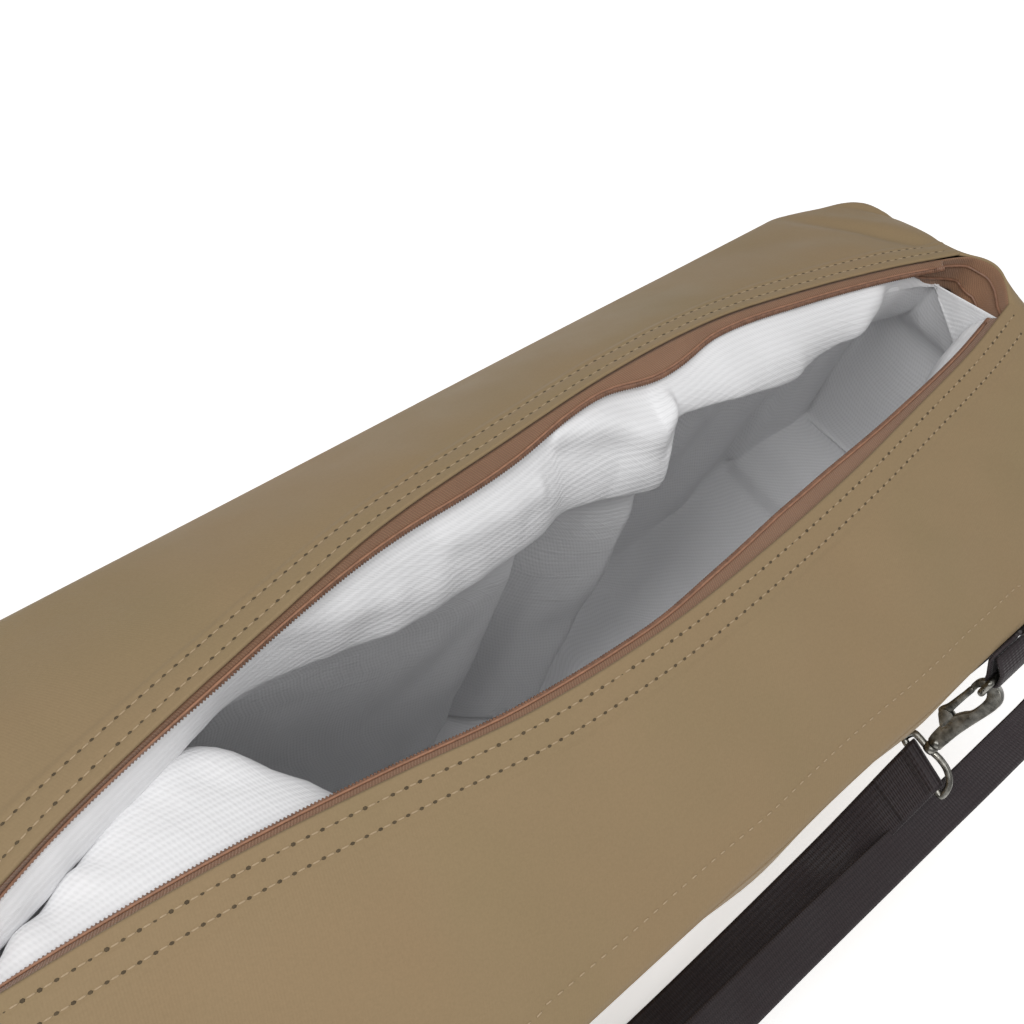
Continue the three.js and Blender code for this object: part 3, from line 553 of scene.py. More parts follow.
# Materials
SHADER_INPUTS = {"roughness": "Roughness", "metallic": "Metallic", "specular": "Specular IOR Level",
                 "sheen": "Sheen Weight", "sheen_roughness": "Sheen Roughness",
                 "glow": "Emission Color", "glow_strength": "Emission Strength"}
CANVAS_RED, CANVAS_OLIVE = (0.36, 0.22, 0.12), (0.20, 0.19, 0.08)


def add_node(tree, kind, inputs, **settings):
    """A new node; each of its inputs is linked to a socket or set to a value."""
    made = tree.nodes.new(kind)
    for key, value in settings.items():
        setattr(made, key, value)
    for key, value in inputs.items():
        if isinstance(value, bpy.types.NodeSocket):
            tree.links.new(value, made.inputs[key])
        else:
            made.inputs[key].default_value = value
    return made


class Finish:
    """A node material, built up step by step."""

    def __init__(self, name, **settings):
        self.material = bpy.data.materials.new(name)
        self.material.use_nodes = True
        self.tree = self.material.node_tree
        self.shader = self.tree.nodes["Principled BSDF"]
        for key, value in settings.items():
            self.shader.inputs[SHADER_INPUTS[key]].default_value = value

    def node(self, kind, inputs, **settings):
        return add_node(self.tree, kind, inputs, **settings)

    def place(self, uv=False, turn=0.0):
        source = self.node("ShaderNodeTexCoord", {}).outputs["UV" if uv else "Object"]
        return self.node("ShaderNodeMapping", {"Vector": source, "Rotation": (0, 0, turn)}).outputs["Vector"]

    def noise(self, place, scale, detail=4.0, rough=0.55):
        links = {"Vector": place, "Scale": scale, "Detail": detail, "Roughness": rough}
        return self.node("ShaderNodeTexNoise", links).outputs["Fac"]

    def wave(self, place, scale, direction="X", distortion=0.0):
        links = {"Vector": place, "Scale": scale, "Distortion": distortion}
        made = self.node("ShaderNodeTexWave", links, wave_type="BANDS", bands_direction=direction,
                         wave_profile="SIN")
        return made.outputs["Fac"]

    def maths(self, operation, a, b):
        return self.node("ShaderNodeMath", {0: a, 1: b}, operation=operation).outputs["Value"]

    def add(self, a, b):
        return self.maths("ADD", a, b)

    def times(self, a, b):
        return self.maths("MULTIPLY", a, b)

    def colours(self, factor, stops):
        made = self.node("ShaderNodeValToRGB", {"Fac": factor})
        elements = made.color_ramp.elements
        while len(elements) < len(stops):
            elements.new(0.5)
        for element, (position, colour) in zip(elements, stops):
            element.position = position
            element.color = (*colour, 1)
        return made.outputs["Color"]

    def spread(self, factor, low, high):
        links = {"Value": factor, "From Min": 0.3, "From Max": 0.7, "To Min": low, "To Max": high}
        return self.node("ShaderNodeMapRange", links).outputs["Result"]

    def blend(self, factor, colour, other):
        links = {"Factor": factor, "A": colour, "B": (*other, 1)}
        return self.node("ShaderNodeMix", links, data_type="RGBA").outputs["Result"]

    def paint(self, colour, roughness=None, height=None, strength=0.3, distance=0.0003):
        self.tree.links.new(colour, self.shader.inputs["Base Color"])
        if roughness is not None:
            self.tree.links.new(roughness, self.shader.inputs["Roughness"])
        if height is not None:
            bump = self.node("ShaderNodeBump", {"Height": height, "Strength": strength, "Distance": distance})
            self.tree.links.new(bump.outputs["Normal"], self.shader.inputs["Normal"])
        return self.material


def shade(colour, factor):
    return tuple(min(1.0, c * factor) for c in colour)


def toward(colour, other, share):
    return tuple(mix(a, b, share) for a, b in zip(colour, other))


def canvas_finish(colours):
    base = tuple(colours.canvas)
    finish = Finish("canvas_tan", roughness=0.5, specular=0.18, sheen=0.03, sheen_roughness=0.4)
    place, cloth = finish.place(), finish.place(uv=True)
    red, olive = toward(base, CANVAS_RED, 0.14), toward(base, CANVAS_OLIVE, 0.12)
    tint = finish.colours(finish.noise(place, 9.0, 3.0), [(0.32, olive), (0.5, base), (0.68, red)])
    speck = finish.spread(finish.noise(place, 900.0, 2.0), 0.0, 0.22)
    weave = finish.add(finish.wave(cloth, 260.0, "X", 0.6), finish.wave(cloth, 260.0, "Y", 0.6))
    height = finish.add(finish.times(weave, 0.35), finish.noise(place, 260.0, 3.0))
    rough = finish.spread(finish.noise(place, 30.0), 0.54, 0.68)
    return finish.paint(finish.blend(speck, tint, shade(base, 0.72)), rough, height, 0.16, 0.0004)


def lining_finish(colours):
    base = tuple(colours.lining)
    finish = Finish("lining_white", roughness=0.5, specular=0.4)
    place, cloth = finish.place(), finish.place(uv=True)
    ribs, cross = finish.wave(cloth, 110.0, "X", 0.4), finish.wave(cloth, 190.0, "Y", 0.8)
    squares = finish.maths("MAXIMUM", finish.wave(cloth, 31.0, "X"), finish.wave(cloth, 31.0, "Y"))
    raised = finish.times(finish.maths("POWER", squares, 14.0), 0.9)
    height = finish.add(finish.add(ribs, finish.times(cross, 0.45)), raised)
    shadow = finish.times(finish.add(ribs, cross), 0.5)
    tint = finish.colours(shadow, [(0.05, shade(base, 0.92)), (0.55, base), (0.95, shade(base, 1.02))])
    soil = finish.spread(finish.noise(place, 14.0), 0.0, 0.10)
    rough = finish.spread(finish.noise(place, 60.0), 0.42, 0.6)
    return finish.paint(finish.blend(soil, tint, shade(base, 0.8)), rough, height, 0.2, 0.0005)


def tape_finish(colours):
    base = tuple(colours.zip_tape)
    finish = Finish("zip_tape_brown", roughness=0.75, sheen=0.25)
    twill = finish.wave(finish.place(uv=True, turn=math.radians(40)), 330.0, "X", 1.2)
    thread = finish.wave(finish.place(uv=True), 420.0, "Y", 1.5)
    weave = finish.times(twill, finish.add(thread, 0.4))
    tint = finish.colours(weave, [(0.05, shade(base, 0.8)), (0.5, base), (1.0, shade(base, 1.15))])
    worn = finish.spread(finish.noise(finish.place(), 45.0), 0.0, 0.35)
    return finish.paint(finish.blend(worn, tint, shade(base, 0.7)), None, weave, 0.5, 0.0005)


def webbing_finish(colours):
    base = tuple(colours.webbing)
    finish = Finish("webbing_dark", roughness=0.62, specular=0.45, sheen=0.12, sheen_roughness=0.35)
    place, cloth = finish.place(), finish.place(uv=True)
    weft, warp = finish.wave(cloth, 230.0, "X", 0.7), finish.wave(cloth, 105.0, "Y", 0.3)
    weave = finish.add(finish.times(weft, 0.65), finish.times(warp, 0.5))
    tint = finish.colours(weave, [(0.1, shade(base, 0.7)), (0.6, base), (1.0, shade(base, 1.35))])
    fuzz = finish.spread(finish.noise(place, 80.0), 0.0, 0.3)
    rough = finish.spread(finish.noise(place, 40.0), 0.5, 0.75)
    return finish.paint(finish.blend(fuzz, tint, shade(base, 1.5)), rough, weave, 0.6, 0.0006)


def nickel_finish(colours):
    base = tuple(colours.nickel)
    finish = Finish("nickel_antique", roughness=0.3, metallic=1.0)
    place = finish.place()
    stops = [(0.36, shade(base, 0.28)), (0.5, shade(base, 0.8)), (0.66, shade(base, 1.35))]
    tint = finish.colours(finish.noise(place, 160.0, 5.0, 0.65), stops)
    rough = finish.spread(finish.noise(place, 220.0), 0.2, 0.46)
    return finish.paint(tint, rough, finish.noise(place, 700.0, 3.0), 0.12, 0.0002)


def thread_finish(colours):
    base = tuple(colours.thread)
    finish = Finish("thread_tan", roughness=0.6)
    twist = finish.wave(finish.place(turn=0.6), 900.0, "X", 2.0)
    return finish.paint(finish.colours(twist, [(0.2, shade(base, 0.75)), (0.8, shade(base, 1.2))]))


def mottled(name, base, roughness, scale, dark, light):
    finish = Finish(name, roughness=roughness)
    spots = finish.noise(finish.place(), scale)
    return finish.paint(finish.colours(spots, [(0.3, shade(base, dark)), (0.7, shade(base, light))]))


def coil_finish(colours):
    return mottled("zip_coil_brown", tuple(colours.zip_coil), 0.42, 300.0, 0.7, 1.25)


def cord_finish(colours):
    return mottled("zip_cord_light", shade(tuple(colours.zip_coil), 1.5), 0.5, 400.0, 0.8, 1.15)


# Needle holes get painted shade: a darkened canvas colour on the discs that stand for the holes' hollows
def painted_hole_shade_finish(colours):
    return mottled("needle_hole_shade", shade(tuple(colours.canvas), 0.36), 0.9, 500.0, 0.6, 1.0)


FINISHES = {"canvas": canvas_finish, "lining": lining_finish, "zip_tape": tape_finish,
            "zip_coil": coil_finish, "cord": cord_finish, "webbing": webbing_finish, "nickel": nickel_finish,
            "thread": thread_finish, "hole": painted_hole_shade_finish}
made_finishes = {}


def finish_for(slot):
    if slot not in made_finishes:
        made_finishes[slot] = FINISHES[slot](bpy.context.scene.bag_colours)
    return made_finishes[slot]


# Repeated pieces by geometry nodes
BIT_SIZE = ("Length", "Width", "Height")


def row_tree():
    """Rounded bits set along points that carry a direction along the row and one off the surface."""
    tree = bpy.data.node_groups.new("row_of_bits", "GeometryNodeTree")
    kinds = {"Geometry": "Geometry", **dict.fromkeys(BIT_SIZE, "Float"), "Segments": "Int",
             "Finish": "Material"}
    for name, kind in kinds.items():
        tree.interface.new_socket(name, in_out="INPUT", socket_type="NodeSocket" + kind)
    tree.interface.new_socket("Geometry", in_out="OUTPUT", socket_type="NodeSocketGeometry")
    given = tree.nodes.new("NodeGroupInput").outputs

    def step(kind, output, inputs, **settings):
        return add_node(tree, kind, inputs, **settings).outputs[output]

    bit = step("GeometryNodeMeshUVSphere", "Mesh", {"Rings": 4, "Radius": 0.5, "Segments": given["Segments"]})
    size = step("ShaderNodeCombineXYZ", "Vector", {axis: given[name] for axis, name in zip("XYZ", BIT_SIZE)})
    bit = step("GeometryNodeTransform", "Geometry", {"Geometry": bit, "Scale": size})
    stored = "GeometryNodeInputNamedAttribute"
    along, up = (step(stored, "Attribute", {"Name": name}, data_type="FLOAT_VECTOR")
                 for name in ("row_along", "row_up"))
    align = "FunctionNodeAlignRotationToVector"
    turn = step(align, "Rotation", {"Vector": along}, axis="X")
    turn = step(align, "Rotation", {"Vector": up, "Rotation": turn}, axis="Z", pivot_axis="X")
    places = {"Points": given["Geometry"], "Instance": bit, "Rotation": turn}
    bits = step("GeometryNodeInstanceOnPoints", "Instances", places)
    for kind in ("GeometryNodeRealizeInstances", "GeometryNodeSetShadeSmooth"):
        bits = step(kind, "Geometry", {"Geometry": bits})
    bits = step("GeometryNodeSetMaterial", "Geometry", {"Geometry": bits, "Material": given["Finish"]})
    add_node(tree, "NodeGroupOutput", {"Geometry": bits})
    return tree


def row_of_bits(name, places, along, up, size, finish, segments=6):
    """A mesh of rounded bits at those places; size is along, across and off the surface, millimetres."""
    tree = bpy.data.node_groups.get("row_of_bits") or row_tree()
    mesh = bpy.data.meshes.new(name)
    mesh.from_pydata((places * MM).tolist(), [], [])
    for key, values in (("row_along", along), ("row_up", up)):
        attribute = mesh.attributes.new(key, "FLOAT_VECTOR", "POINT")
        attribute.data.foreach_set("vector", np.asarray(values, dtype=np.float32).ravel())
    piece = bpy.data.objects.new(name, mesh)
    bpy.context.scene.collection.objects.link(piece)
    modifier = piece.modifiers.new("row", "NODES")
    modifier.node_group = tree
    sockets = {item.name: item.identifier for item in tree.interface.items_tree if item.in_out == "INPUT"}
    for key, value in zip(BIT_SIZE, size):
        modifier[sockets[key]] = value * MM
    modifier[sockets["Segments"]] = segments
    modifier[sockets["Finish"]] = finish
    return applied(piece)


def even_places(line, pitch, normals):
    """Places a pitch apart along a line of points, with the row direction and the surface normal there."""
    steps = np.linalg.norm(np.diff(line, axis=0), axis=1)
    length = np.concatenate([[0], np.cumsum(steps)])
    where = np.arange(pitch / 2, length[-1], pitch)
    pick = lambda values: np.stack([np.interp(where, length, values[:, k]) for k in range(3)], -1)
    return pick(line), unit(pick(np.gradient(line, axis=0))), unit(pick(normals))


def end_lip(end, share):
    """Top edge of an end panel from the front fold, share 0, to the back fold, share 1."""
    front, back = (fold_point(side, np.array([float(end)]))[0] for side in (FRONT, BACK))
    line = mix(front, back, share[:, None])
    swell = (back[1] - front[1]) * np.sin(np.pi * share)
    line[:, 0] += end * (SEAM_GAP + END_LIP * swell)
    line[:, 2] += END_LIP_RISE * swell
    return line


# Canvas pieces
def top_grid(side, steps):
    """Top panel with its hem, stitch grooves and slack, from the fold to the outer edge."""
    s = np.sin(np.pi / 2 * np.linspace(-1, 1, steps))[:, None]
    width = np.linalg.norm(wall_point(side, s, np.full_like(s, EAVE_HEIGHT)) - fold_point(side, s), axis=-1)
    near_end = HEM_WIDTH + HEM_MARGIN
    near = np.broadcast_to(np.linspace(0, near_end, PANEL_COLUMNS), (steps, PANEL_COLUMNS))
    far = near_end + (width - near_end) * np.linspace(0, 1, PANEL_COLUMNS)[None, 1:]
    off = np.concatenate([near, far], axis=1)
    across = off / width
    grid = top_point(side, np.broadcast_to(s, across.shape), across)
    normal = grid_normals(grid)
    if normal[..., 2].mean() < 0:
        normal = -normal
    lift = HEM_LIFT * (1 - ramp(off, HEM_WIDTH - HEM_STEP, HEM_WIDTH + HEM_STEP))
    for row in STITCH_ROWS:
        lift = lift - STITCH_SINK * bell(off - row, STITCH_SINK_WIDTH)
    slack = ramp(off, *SLACK_OFF_FOLD) * ramp(width - off, *SLACK_OFF_EDGE)
    lift = lift + slack * waves("top", grid, side)
    lift = lift + waves("hem", grid, side) * bell(off - HEM_PUCKER, HEM_PUCKER)
    lift = lift - EDGE_DIP * (1 - ramp(width - off, 0, EDGE_DIP_WIDTH))
    return grid + normal * lift[..., None], off, normal, width


def length_property(name, words, value, **limits):
    return bpy.props.FloatProperty(name=name, description=words, default=value, unit="LENGTH", **limits)


class BAG_PG_sizes(bpy.types.PropertyGroup):
    """Sizes of the fine details."""
    stitch_pitch: length_property("Stitch pitch", "From one needle hole to the next", STITCH_PITCH * MM,
                                  min=0.001)
    thread: length_property("Thread", "Thickness of the sewing thread", 0.0006, min=0.0002)
    tooth_pitch: length_property("Zip tooth pitch", "From one zip tooth to the next", 0.0015, min=0.0008)
    lining_slack: length_property("Lining slack", "Depth of the lining's fine wrinkles", 0.0011,
                                  min=0.0, max=0.006)


def colour_property(name, words, value):
    return bpy.props.FloatVectorProperty(name=name, description=words, subtype="COLOR", size=3, min=0, max=1,
                                         default=value)


class BAG_PG_colours(bpy.types.PropertyGroup):
    """Colours of the finishes."""
    canvas: colour_property("Canvas", "Coated canvas of the panels", (0.305, 0.219, 0.121))
    lining: colour_property("Lining", "Woven lining", (0.86, 0.86, 0.87))
    zip_tape: colour_property("Zip tape", "Woven tape", (0.30, 0.158, 0.086))
    zip_coil: colour_property("Zip coil", "Nylon coil", (0.235, 0.12, 0.072))
    webbing: colour_property("Webbing", "Handle and strap", (0.020, 0.013, 0.015))
    nickel: colour_property("Nickel", "Plated hardware", (0.27, 0.262, 0.235))
    thread: colour_property("Thread", "Sewing thread", (0.42, 0.31, 0.19))


class BAG_OT_canvas(bpy.types.Operator):
    """Canvas panels: two tops, the wrap under the bag and two ends"""
    bl_idname = "bag.canvas"
    bl_label = "Canvas"

    def execute(self, context):
        canvas = finish_for("canvas")
        for side, name in ((FRONT, "front"), (BACK, "back")):
            grid = top_grid(side, PANEL_STEPS)[0]
            panel = thick_sheet(f"canvas_top_{name}", grid, CANVAS_SHOWN, canvas, side)
            settle(panel, "bag", "canvas", f"top_{name}")
        self.wrap(canvas)
        for end, name in ((1, "right"), (-1, "left")):
            self.end(canvas, end, name)
        return {"FINISHED"}

    @staticmethod
    def wrap(canvas):
        s = np.sin(np.pi / 2 * np.linspace(-1, 1, WRAP_STEPS))[:, None]
        top = EAVE_HEIGHT - CANVAS - SEAM_GAP
        round_levels = BASE_EDGE_RADIUS * (1 - np.cos(np.linspace(0, np.pi / 2, 9)))
        levels = np.concatenate([np.linspace(top, BASE_EDGE_RADIUS, 62), round_levels[::-1][1:]])
        front = wall_point(FRONT, s, levels[None, :])
        back = wall_point(BACK, s, levels[None, ::-1])
        foot = back[:, :1]
        base = np.concatenate([foot * (1, share, 1) for share in np.linspace(-1, 1, 30)[1:-1]], axis=1)
        grid = np.concatenate([front, base, back], axis=1)
        normal = grid_normals(grid)
        if normal[WRAP_STEPS // 2, 0, 1] > 0:
            normal = -normal
        z = grid[..., 2].copy()
        rise = corner_rise(BACK, grid[..., 0], 1.0) * (grid[..., 1] > 0)
        slack = ramp(z, *SLACK_OFF_BASE) * ramp(top - z, *SLACK_OFF_EAVE)
        slack = slack * np.where(grid[..., 1] < 0, 1 - ramp(z, *FRONT_HELD), 1.0)
        grid = grid + normal * (slack * waves("wrap", grid))[..., None]
        grid[..., 2] += rise * ramp(z, BUMP_FROM, top)
        wrap = thick_sheet("canvas_wrap", grid, CANVAS_SHOWN, canvas, -1)
        settle(wrap, "bag", "canvas", "body_wrap")

    @staticmethod
    def end(canvas, end, name):
        round_levels = BASE_EDGE_RADIUS * (1 - np.cos(np.linspace(0, np.pi / 2, 7)))
        upper = np.linspace(BASE_EDGE_RADIUS, EAVE_HEIGHT - CANVAS - SEAM_GAP, 30)[1:]
        levels = np.concatenate([round_levels, upper])
        share = np.linspace(1, 0, 26)
        at_wall, at_top = np.full_like(levels, end), np.full_like(share, end)
        front, back = (np.concatenate([wall_point(side, at_wall, levels), top_point(side, at_top, share)])
                       for side in (FRONT, BACK))
        columns = np.linspace(0, 1, 60)
        grid = mix(front[:, None], back[:, None], columns[None, :, None])
        grid[..., 2] = np.maximum(grid[..., 2], END_FOOT)
        upward = np.linspace(0, 1, len(front))
        rise = np.sin(np.pi * upward)[:, None] * np.sin(np.pi * columns)[None, :]
        grid[..., 0] += end * (SEAM_GAP + END_BULGE * rise + waves("end", grid, end) * np.sqrt(rise))
        lip = end_lip(end, columns) - grid[-1]
        grid += lip[None] * (upward ** END_LIP_POWER)[:, None, None]
        panel = thick_sheet(f"canvas_end_{name}", grid, CANVAS_SHOWN, canvas, -end)
        settle(panel, "bag", "canvas", f"end_{name}")


class BAG_OT_stitches(bpy.types.Operator):
    """Sewn rows of the canvas: thread, and dark discs painted as the shade in the needle holes"""
    bl_idname = "bag.stitches"
    bl_label = "Stitches"

    def execute(self, context):
        sizes = context.scene.bag_sizes
        pitch, thread = sizes.stitch_pitch / MM, sizes.thread / MM
        rows = []
        for side in (FRONT, BACK):
            grid, off, normal, width = top_grid(side, SEWN_STEPS)
            for row in STITCH_ROWS:
                rows.append(self.sewn_row(grid, off, normal, np.full_like(width, row), pitch))
            if side == FRONT:
                edge_row = self.sewn_row(grid, off, normal, width - EDGE_ROW, pitch)
        places, along, up = (np.concatenate(part) for part in zip(*rows))
        share, wide, tall = HEM_STITCH
        threads = row_of_bits("canvas_thread", places + up * HEM_STITCH_UP, along, up,
                              (pitch * share, thread * wide, thread * tall), finish_for("thread"))
        settle(threads, "bag", "canvas")
        # Dark discs between the stitches: painted shade for the hollows of the needle holes
        between = places + along * (pitch / 2) + up * NEEDLE_HOLE_UP
        holes = row_of_bits("canvas_needle_hole_shades", between, along, up, NEEDLE_HOLE, finish_for("hole"))
        settle(holes, "bag", "canvas")
        places, along, up = edge_row
        share, wide, tall = EDGE_STITCH
        edge = row_of_bits("canvas_edge_thread", places + up * EDGE_STITCH_UP, along, up,
                           (pitch * share, wide, tall), finish_for("thread"))
        settle(edge, "bag", "canvas")
        return {"FINISHED"}

    @staticmethod
    def sewn_row(grid, off, normal, target, pitch):
        """Places of the stitches of one row, which runs the target's distance off the fold."""
        line = np.arange(len(grid))
        column = np.argmin(np.abs(off - target), axis=1)
        before, after = off[line, column - 1], off[line, column]
        share = np.clip((target[:, 0] - before) / (after - before), 0, 1)[:, None]
        spot = mix(grid[line, column - 1], grid[line, column], share)
        inside = np.abs(spot[:, 0]) < RIDGE_HALF_LENGTH - STITCH_END
        return even_places(spot[inside], pitch, normal[line, column][inside])


# Edge of the back lining's roll under the zip: x, y and height
ROLL_EDGE = np.array([
    (-308, 3, 240), (-240, 19, 246), (-190, 31, 248), (-147, 43, 246), (-109, 42.5, 238), (-68, 36, 236),
    (-19, 36, 235), (14, 37.5, 235), (31, 41, 236), (50, 37, 236), (68, 33, 234), (80, 28.5, 233),
    (87, 29, 235), (92, 34, 246), (98, 42, 255), (118, 41, 255), (142, 36, 254), (158, 34, 251),
    (180, 32, 247), (211, 36, 246), (240, 33.5, 250), (250, 36, 254), (266, 42, 258), (285, 38, 256),
    (308, 28, 254)], dtype=float)
# Back lining below the roll: x, y
CURTAIN = np.array([
    (-308, 100), (-240, 98), (-180, 88), (-120, 74), (-60, 61), (-20, 53), (6, 47), (16, 45), (20, 47),
    (24, 60), (31, 84), (38, 86), (46, 70), (55, 58), (64, 50), (75, 42), (85, 36.5), (90, 36), (94, 42),
    (99, 66), (105, 84), (116, 92), (138, 95), (170, 92), (200, 86), (250, 76), (308, 62)], dtype=float)
# Swell of the front lining at the closed end of the zip: x, how far it comes back
HUMP = np.array([(-308, 3), (-250, 20), (-205, 44), (-175, 53), (-160, 44), (-150, 26), (-142, 10), (-132, 2),
                 (-115, 0), (190, 0), (240, 7), (275, 12), (308, 10)], dtype=float)
HUMP_SLOPE = 0.9
HUMP_SLOPE_IN, HUMP_SLOPE_OUT = (-215, -150), (-125, -95)
# The lining at the right end: how much its floor rises, along which x and up to which height, how far its
# walls draw together, and how far its edge drops below the back tape
END_RISE = 105
END_RISE_X = (185, 300)
END_RISE_TO = 205
FRONT_CURTAIN = np.array([(-308, 110), (150, 110), (200, 96), (250, 72), (308, 44)], dtype=float)
END_TAPE_DROP = 15
END_TAPE_DROP_X = (278, 302)
# Creases across the roll: x and ring at one end and the other, depth, half width
ROLL_CREASES = [(30, 1.3, 94, 2.7, 4.5, 4.0), (-40, 2.2, 14, 2.6, 1.8, 4.0), (-120, 2.0, -70, 3.2, 1.5, 5.0)]
ROLL_RING_STEP = 8
ROLL_RINGS = 6
ROLL_BEHIND = 8
# Soft folds, longer down the sack than along it: side, length of the waves, seed, depth, x where they begin
# and where they are full, the same for the ring
FOLD_STRETCH = (1.0, 0.45, 0.45)
SOFT_FOLDS = [
    (FRONT, 44, 63, 7.0, -125, -185, 1, 3), (FRONT, 25, 67, 3.5, -125, -185, 1, 3),
    (BACK, 42, 63, 2.0, -125, -190, 1, 3), (BACK, 52, 71, 4.0, 95, 150, 7, 9)]
# Where the lining is free to wave: above its floor and below the zip; creases keep their depth near the zip
FREE_HEIGHTS = (6, 40)
FREE_RINGS = (0.4, 3)
FREE_LEAST = 0.3
# How far the lining may swell outward where it lies close to the canvas
SNUG = 0.2
SNUG_ABOVE = 212
SNUG_PAST = 275

# Rings of the lining from the zip down: out, drop, height where it is fixed, and 0 under the zip to 1 at the
# wall. At the back out and drop are shares of the roll, at the front a share of the hump and millimetres
BACK_RINGS = [
    (0.0, 0.0, None, 0), (0.12, 0.10, None, 0), (0.45, 0.30, None, 0), (0.76, 0.56, None, 0),
    (0.93, 0.80, None, 0), (1.0, 1.0, None, 0), (0.96, 1.07, None, 0), (0.85, 1.12, None, 0),
    (0.7, 1.18, None, 0.12), (0.4, 0, 221, 0.45), (0, 0, 208, 0.85), (0, 0, 188, 1), (0, 0, 150, 1),
    (0, 0, 95, 1), (0, 0, 42, 1), (0, 0, 11, 0.97), (0, 0, 3.2, 0.86)]
FRONT_RINGS = [
    (0, 0, None, 0), (0.22, 3, None, 0), (0.52, 6, None, 0), (0.82, 10, None, 0), (0.97, 15, None, 0),
    (1, 21, None, 0), (0.97, 27, None, 0), (0.86, 32, None, 0), (0.66, 37, None, 0.06), (0.4, 44, None, 0.3),
    (0, 0, 203, 0.75), (0, 0, 184, 0.95), (0, 0, 150, 1), (0, 0, 95, 1), (0, 0, 42, 1), (0, 0, 11, 0.93),
    (0, 0, 3.2, 0.78)]
RING_STEPS = 4
FULL_REACH = 0.9
FLOOR_SHARES = (0.2, 0.4, 0.6, 0.8, 1.0)
# The sack has closer columns up to this share of the zip, where its folds are; a column of its front middle
CLOSE_TO = 0.37
FRONT_COLUMN = 125


def lining_ring(side, s, ring):
    """Points of one ring along one side of the zip."""
    out, drop, height, share = ring
    inside = s * (1 - LINING_END_CLEARANCE / RIDGE_HALF_LENGTH)
    bend, _, hang, away, width = tape_frame(side, inside)
    behind = TAPE / 2 + COIL_RADIUS + 2 * ZIP_GAP + LINING
    lip = bend + hang * (width - LINING_OVERLAP) + away * behind
    along = lip[:, 0]
    if side == BACK:
        lip[:, 2] -= END_TAPE_DROP * ramp(along, *END_TAPE_DROP_X)
        out = out * (lip[:, 1] - curve_through(ROLL_EDGE, 1, along))
        drop = drop * (lip[:, 2] - curve_through(ROLL_EDGE, 2, along))
    else:
        out = out * curve_through(HUMP, 1, along)
        drop = drop * (1 + HUMP_SLOPE * ramp(along, *HUMP_SLOPE_IN) * (1 - ramp(along, *HUMP_SLOPE_OUT)))
    z = lip[:, 2] - drop
    if height is not None:
        z = height + END_RISE * ramp(along, *END_RISE_X) * (1 - min(height / END_RISE_TO, 1))
    wall = wall_point(side, inside, np.minimum(z, EAVE_HEIGHT))
    x = mix(along, wall[:, 0], share)
    reach = np.abs(wall[:, 1]) - LINING_CLEARANCE
    reach = np.minimum(reach, curve_through(CURTAIN if side == BACK else FRONT_CURTAIN, 1, x))
    reach = reach * (1 + min(share / FULL_REACH, 1)) / 2
    y = mix(lip[:, 1], side * reach, share) - side * out * (1 - share)
    return points3(x, y, z)


class BAG_OT_lining(bpy.types.Operator):
    """White lining that hangs from the zip tape"""
    bl_idname = "bag.lining"
    bl_label = "Lining"

    def execute(self, context):
        slack = context.scene.bag_sizes.lining_slack / MM
        s = np.concatenate([np.linspace(-1, 0, 90), np.linspace(0, CLOSE_TO, 90)[1:],
                            np.linspace(CLOSE_TO, 1, 70)[1:]])
        ends = np.linspace(0, 1, 16)[1:-1, None]
        rings = []
        for front_ring, back_ring in zip(FRONT_RINGS, BACK_RINGS):
            front = lining_ring(FRONT, s, front_ring)
            back = lining_ring(BACK, s, back_ring)[::-1]
            right, left = mix(front[-1], back[0], ends), mix(back[-1], front[0], ends)
            rings.append(np.concatenate([front, right, back, left]))
        grid = smooth_rows(np.stack(rings), RING_STEPS)
        ring = np.arange(len(grid))[:, None] / RING_STEPS
        on_front = np.arange(grid.shape[1]) < len(s)
        grid = self.folded(grid, ring, on_front, slack)
        floor = [grid[-1] * (1, 1 - share, 1) for share in FLOOR_SHARES]
        grid = np.concatenate([grid, np.stack(floor)])
        white = finish_for("lining")
        sack = thick_sheet("lining_sack", grid, LINING_SHOWN, white, self.outward(grid), closed=True)
        settle(sack, "bag", "lining", "lining")
        return {"FINISHED"}

    def folded(self, grid, ring, on_front, slack):
        """The sack with its wrinkles, soft folds and creases, kept inside the canvas."""
        x, y, z = (grid[..., k] for k in range(3))
        outward = self.outward(grid)
        free = ramp(z, *FREE_HEIGHTS) * ramp(ring, *FREE_RINGS)
        out = slack * waves("lining", grid)
        for side, size, seed, deep, x0, x1, ring0, ring1 in SOFT_FOLDS:
            fold = ripple(grid * FOLD_STRETCH, size, seed) * ramp(x, x0, x1) * ramp(ring, ring0, ring1)
            fold = fold * ramp(np.abs(x), RIDGE_HALF_LENGTH, SNUG_PAST)
            out = out + deep * fold * (on_front == (side == FRONT))
        out = outward * out
        on_roll = (y > ROLL_BEHIND) & (ring < ROLL_RINGS)
        for x0, ring0, x1, ring1, deep, wide in ROLL_CREASES:
            line = np.array((x1 - x0, (ring1 - ring0) * ROLL_RING_STEP))
            over, down = x - x0, (ring - ring0) * ROLL_RING_STEP
            t = np.clip((over * line[0] + down * line[1]) / (line @ line), 0, 1)
            gap = np.hypot(over - t * line[0], down - t * line[1])
            out = out - deep * bell(gap, wide) * on_roll / np.maximum(free, FREE_LEAST)
        room = np.maximum(half_width(z) - LINING_CLEARANCE - np.abs(y), 0)
        room = SNUG + room * (z < SNUG_ABOVE) * (np.abs(x) < SNUG_PAST)
        return grid + grid_normals(grid, True) * (outward * np.minimum(free * out, room))[..., None]

    @staticmethod
    def outward(grid):
        """1 where the grid's normals point out of the sack, otherwise -1."""
        normal = grid_normals(grid, True)
        return 1 if normal[len(grid) // 2, FRONT_COLUMN, 1] < 0 else -1


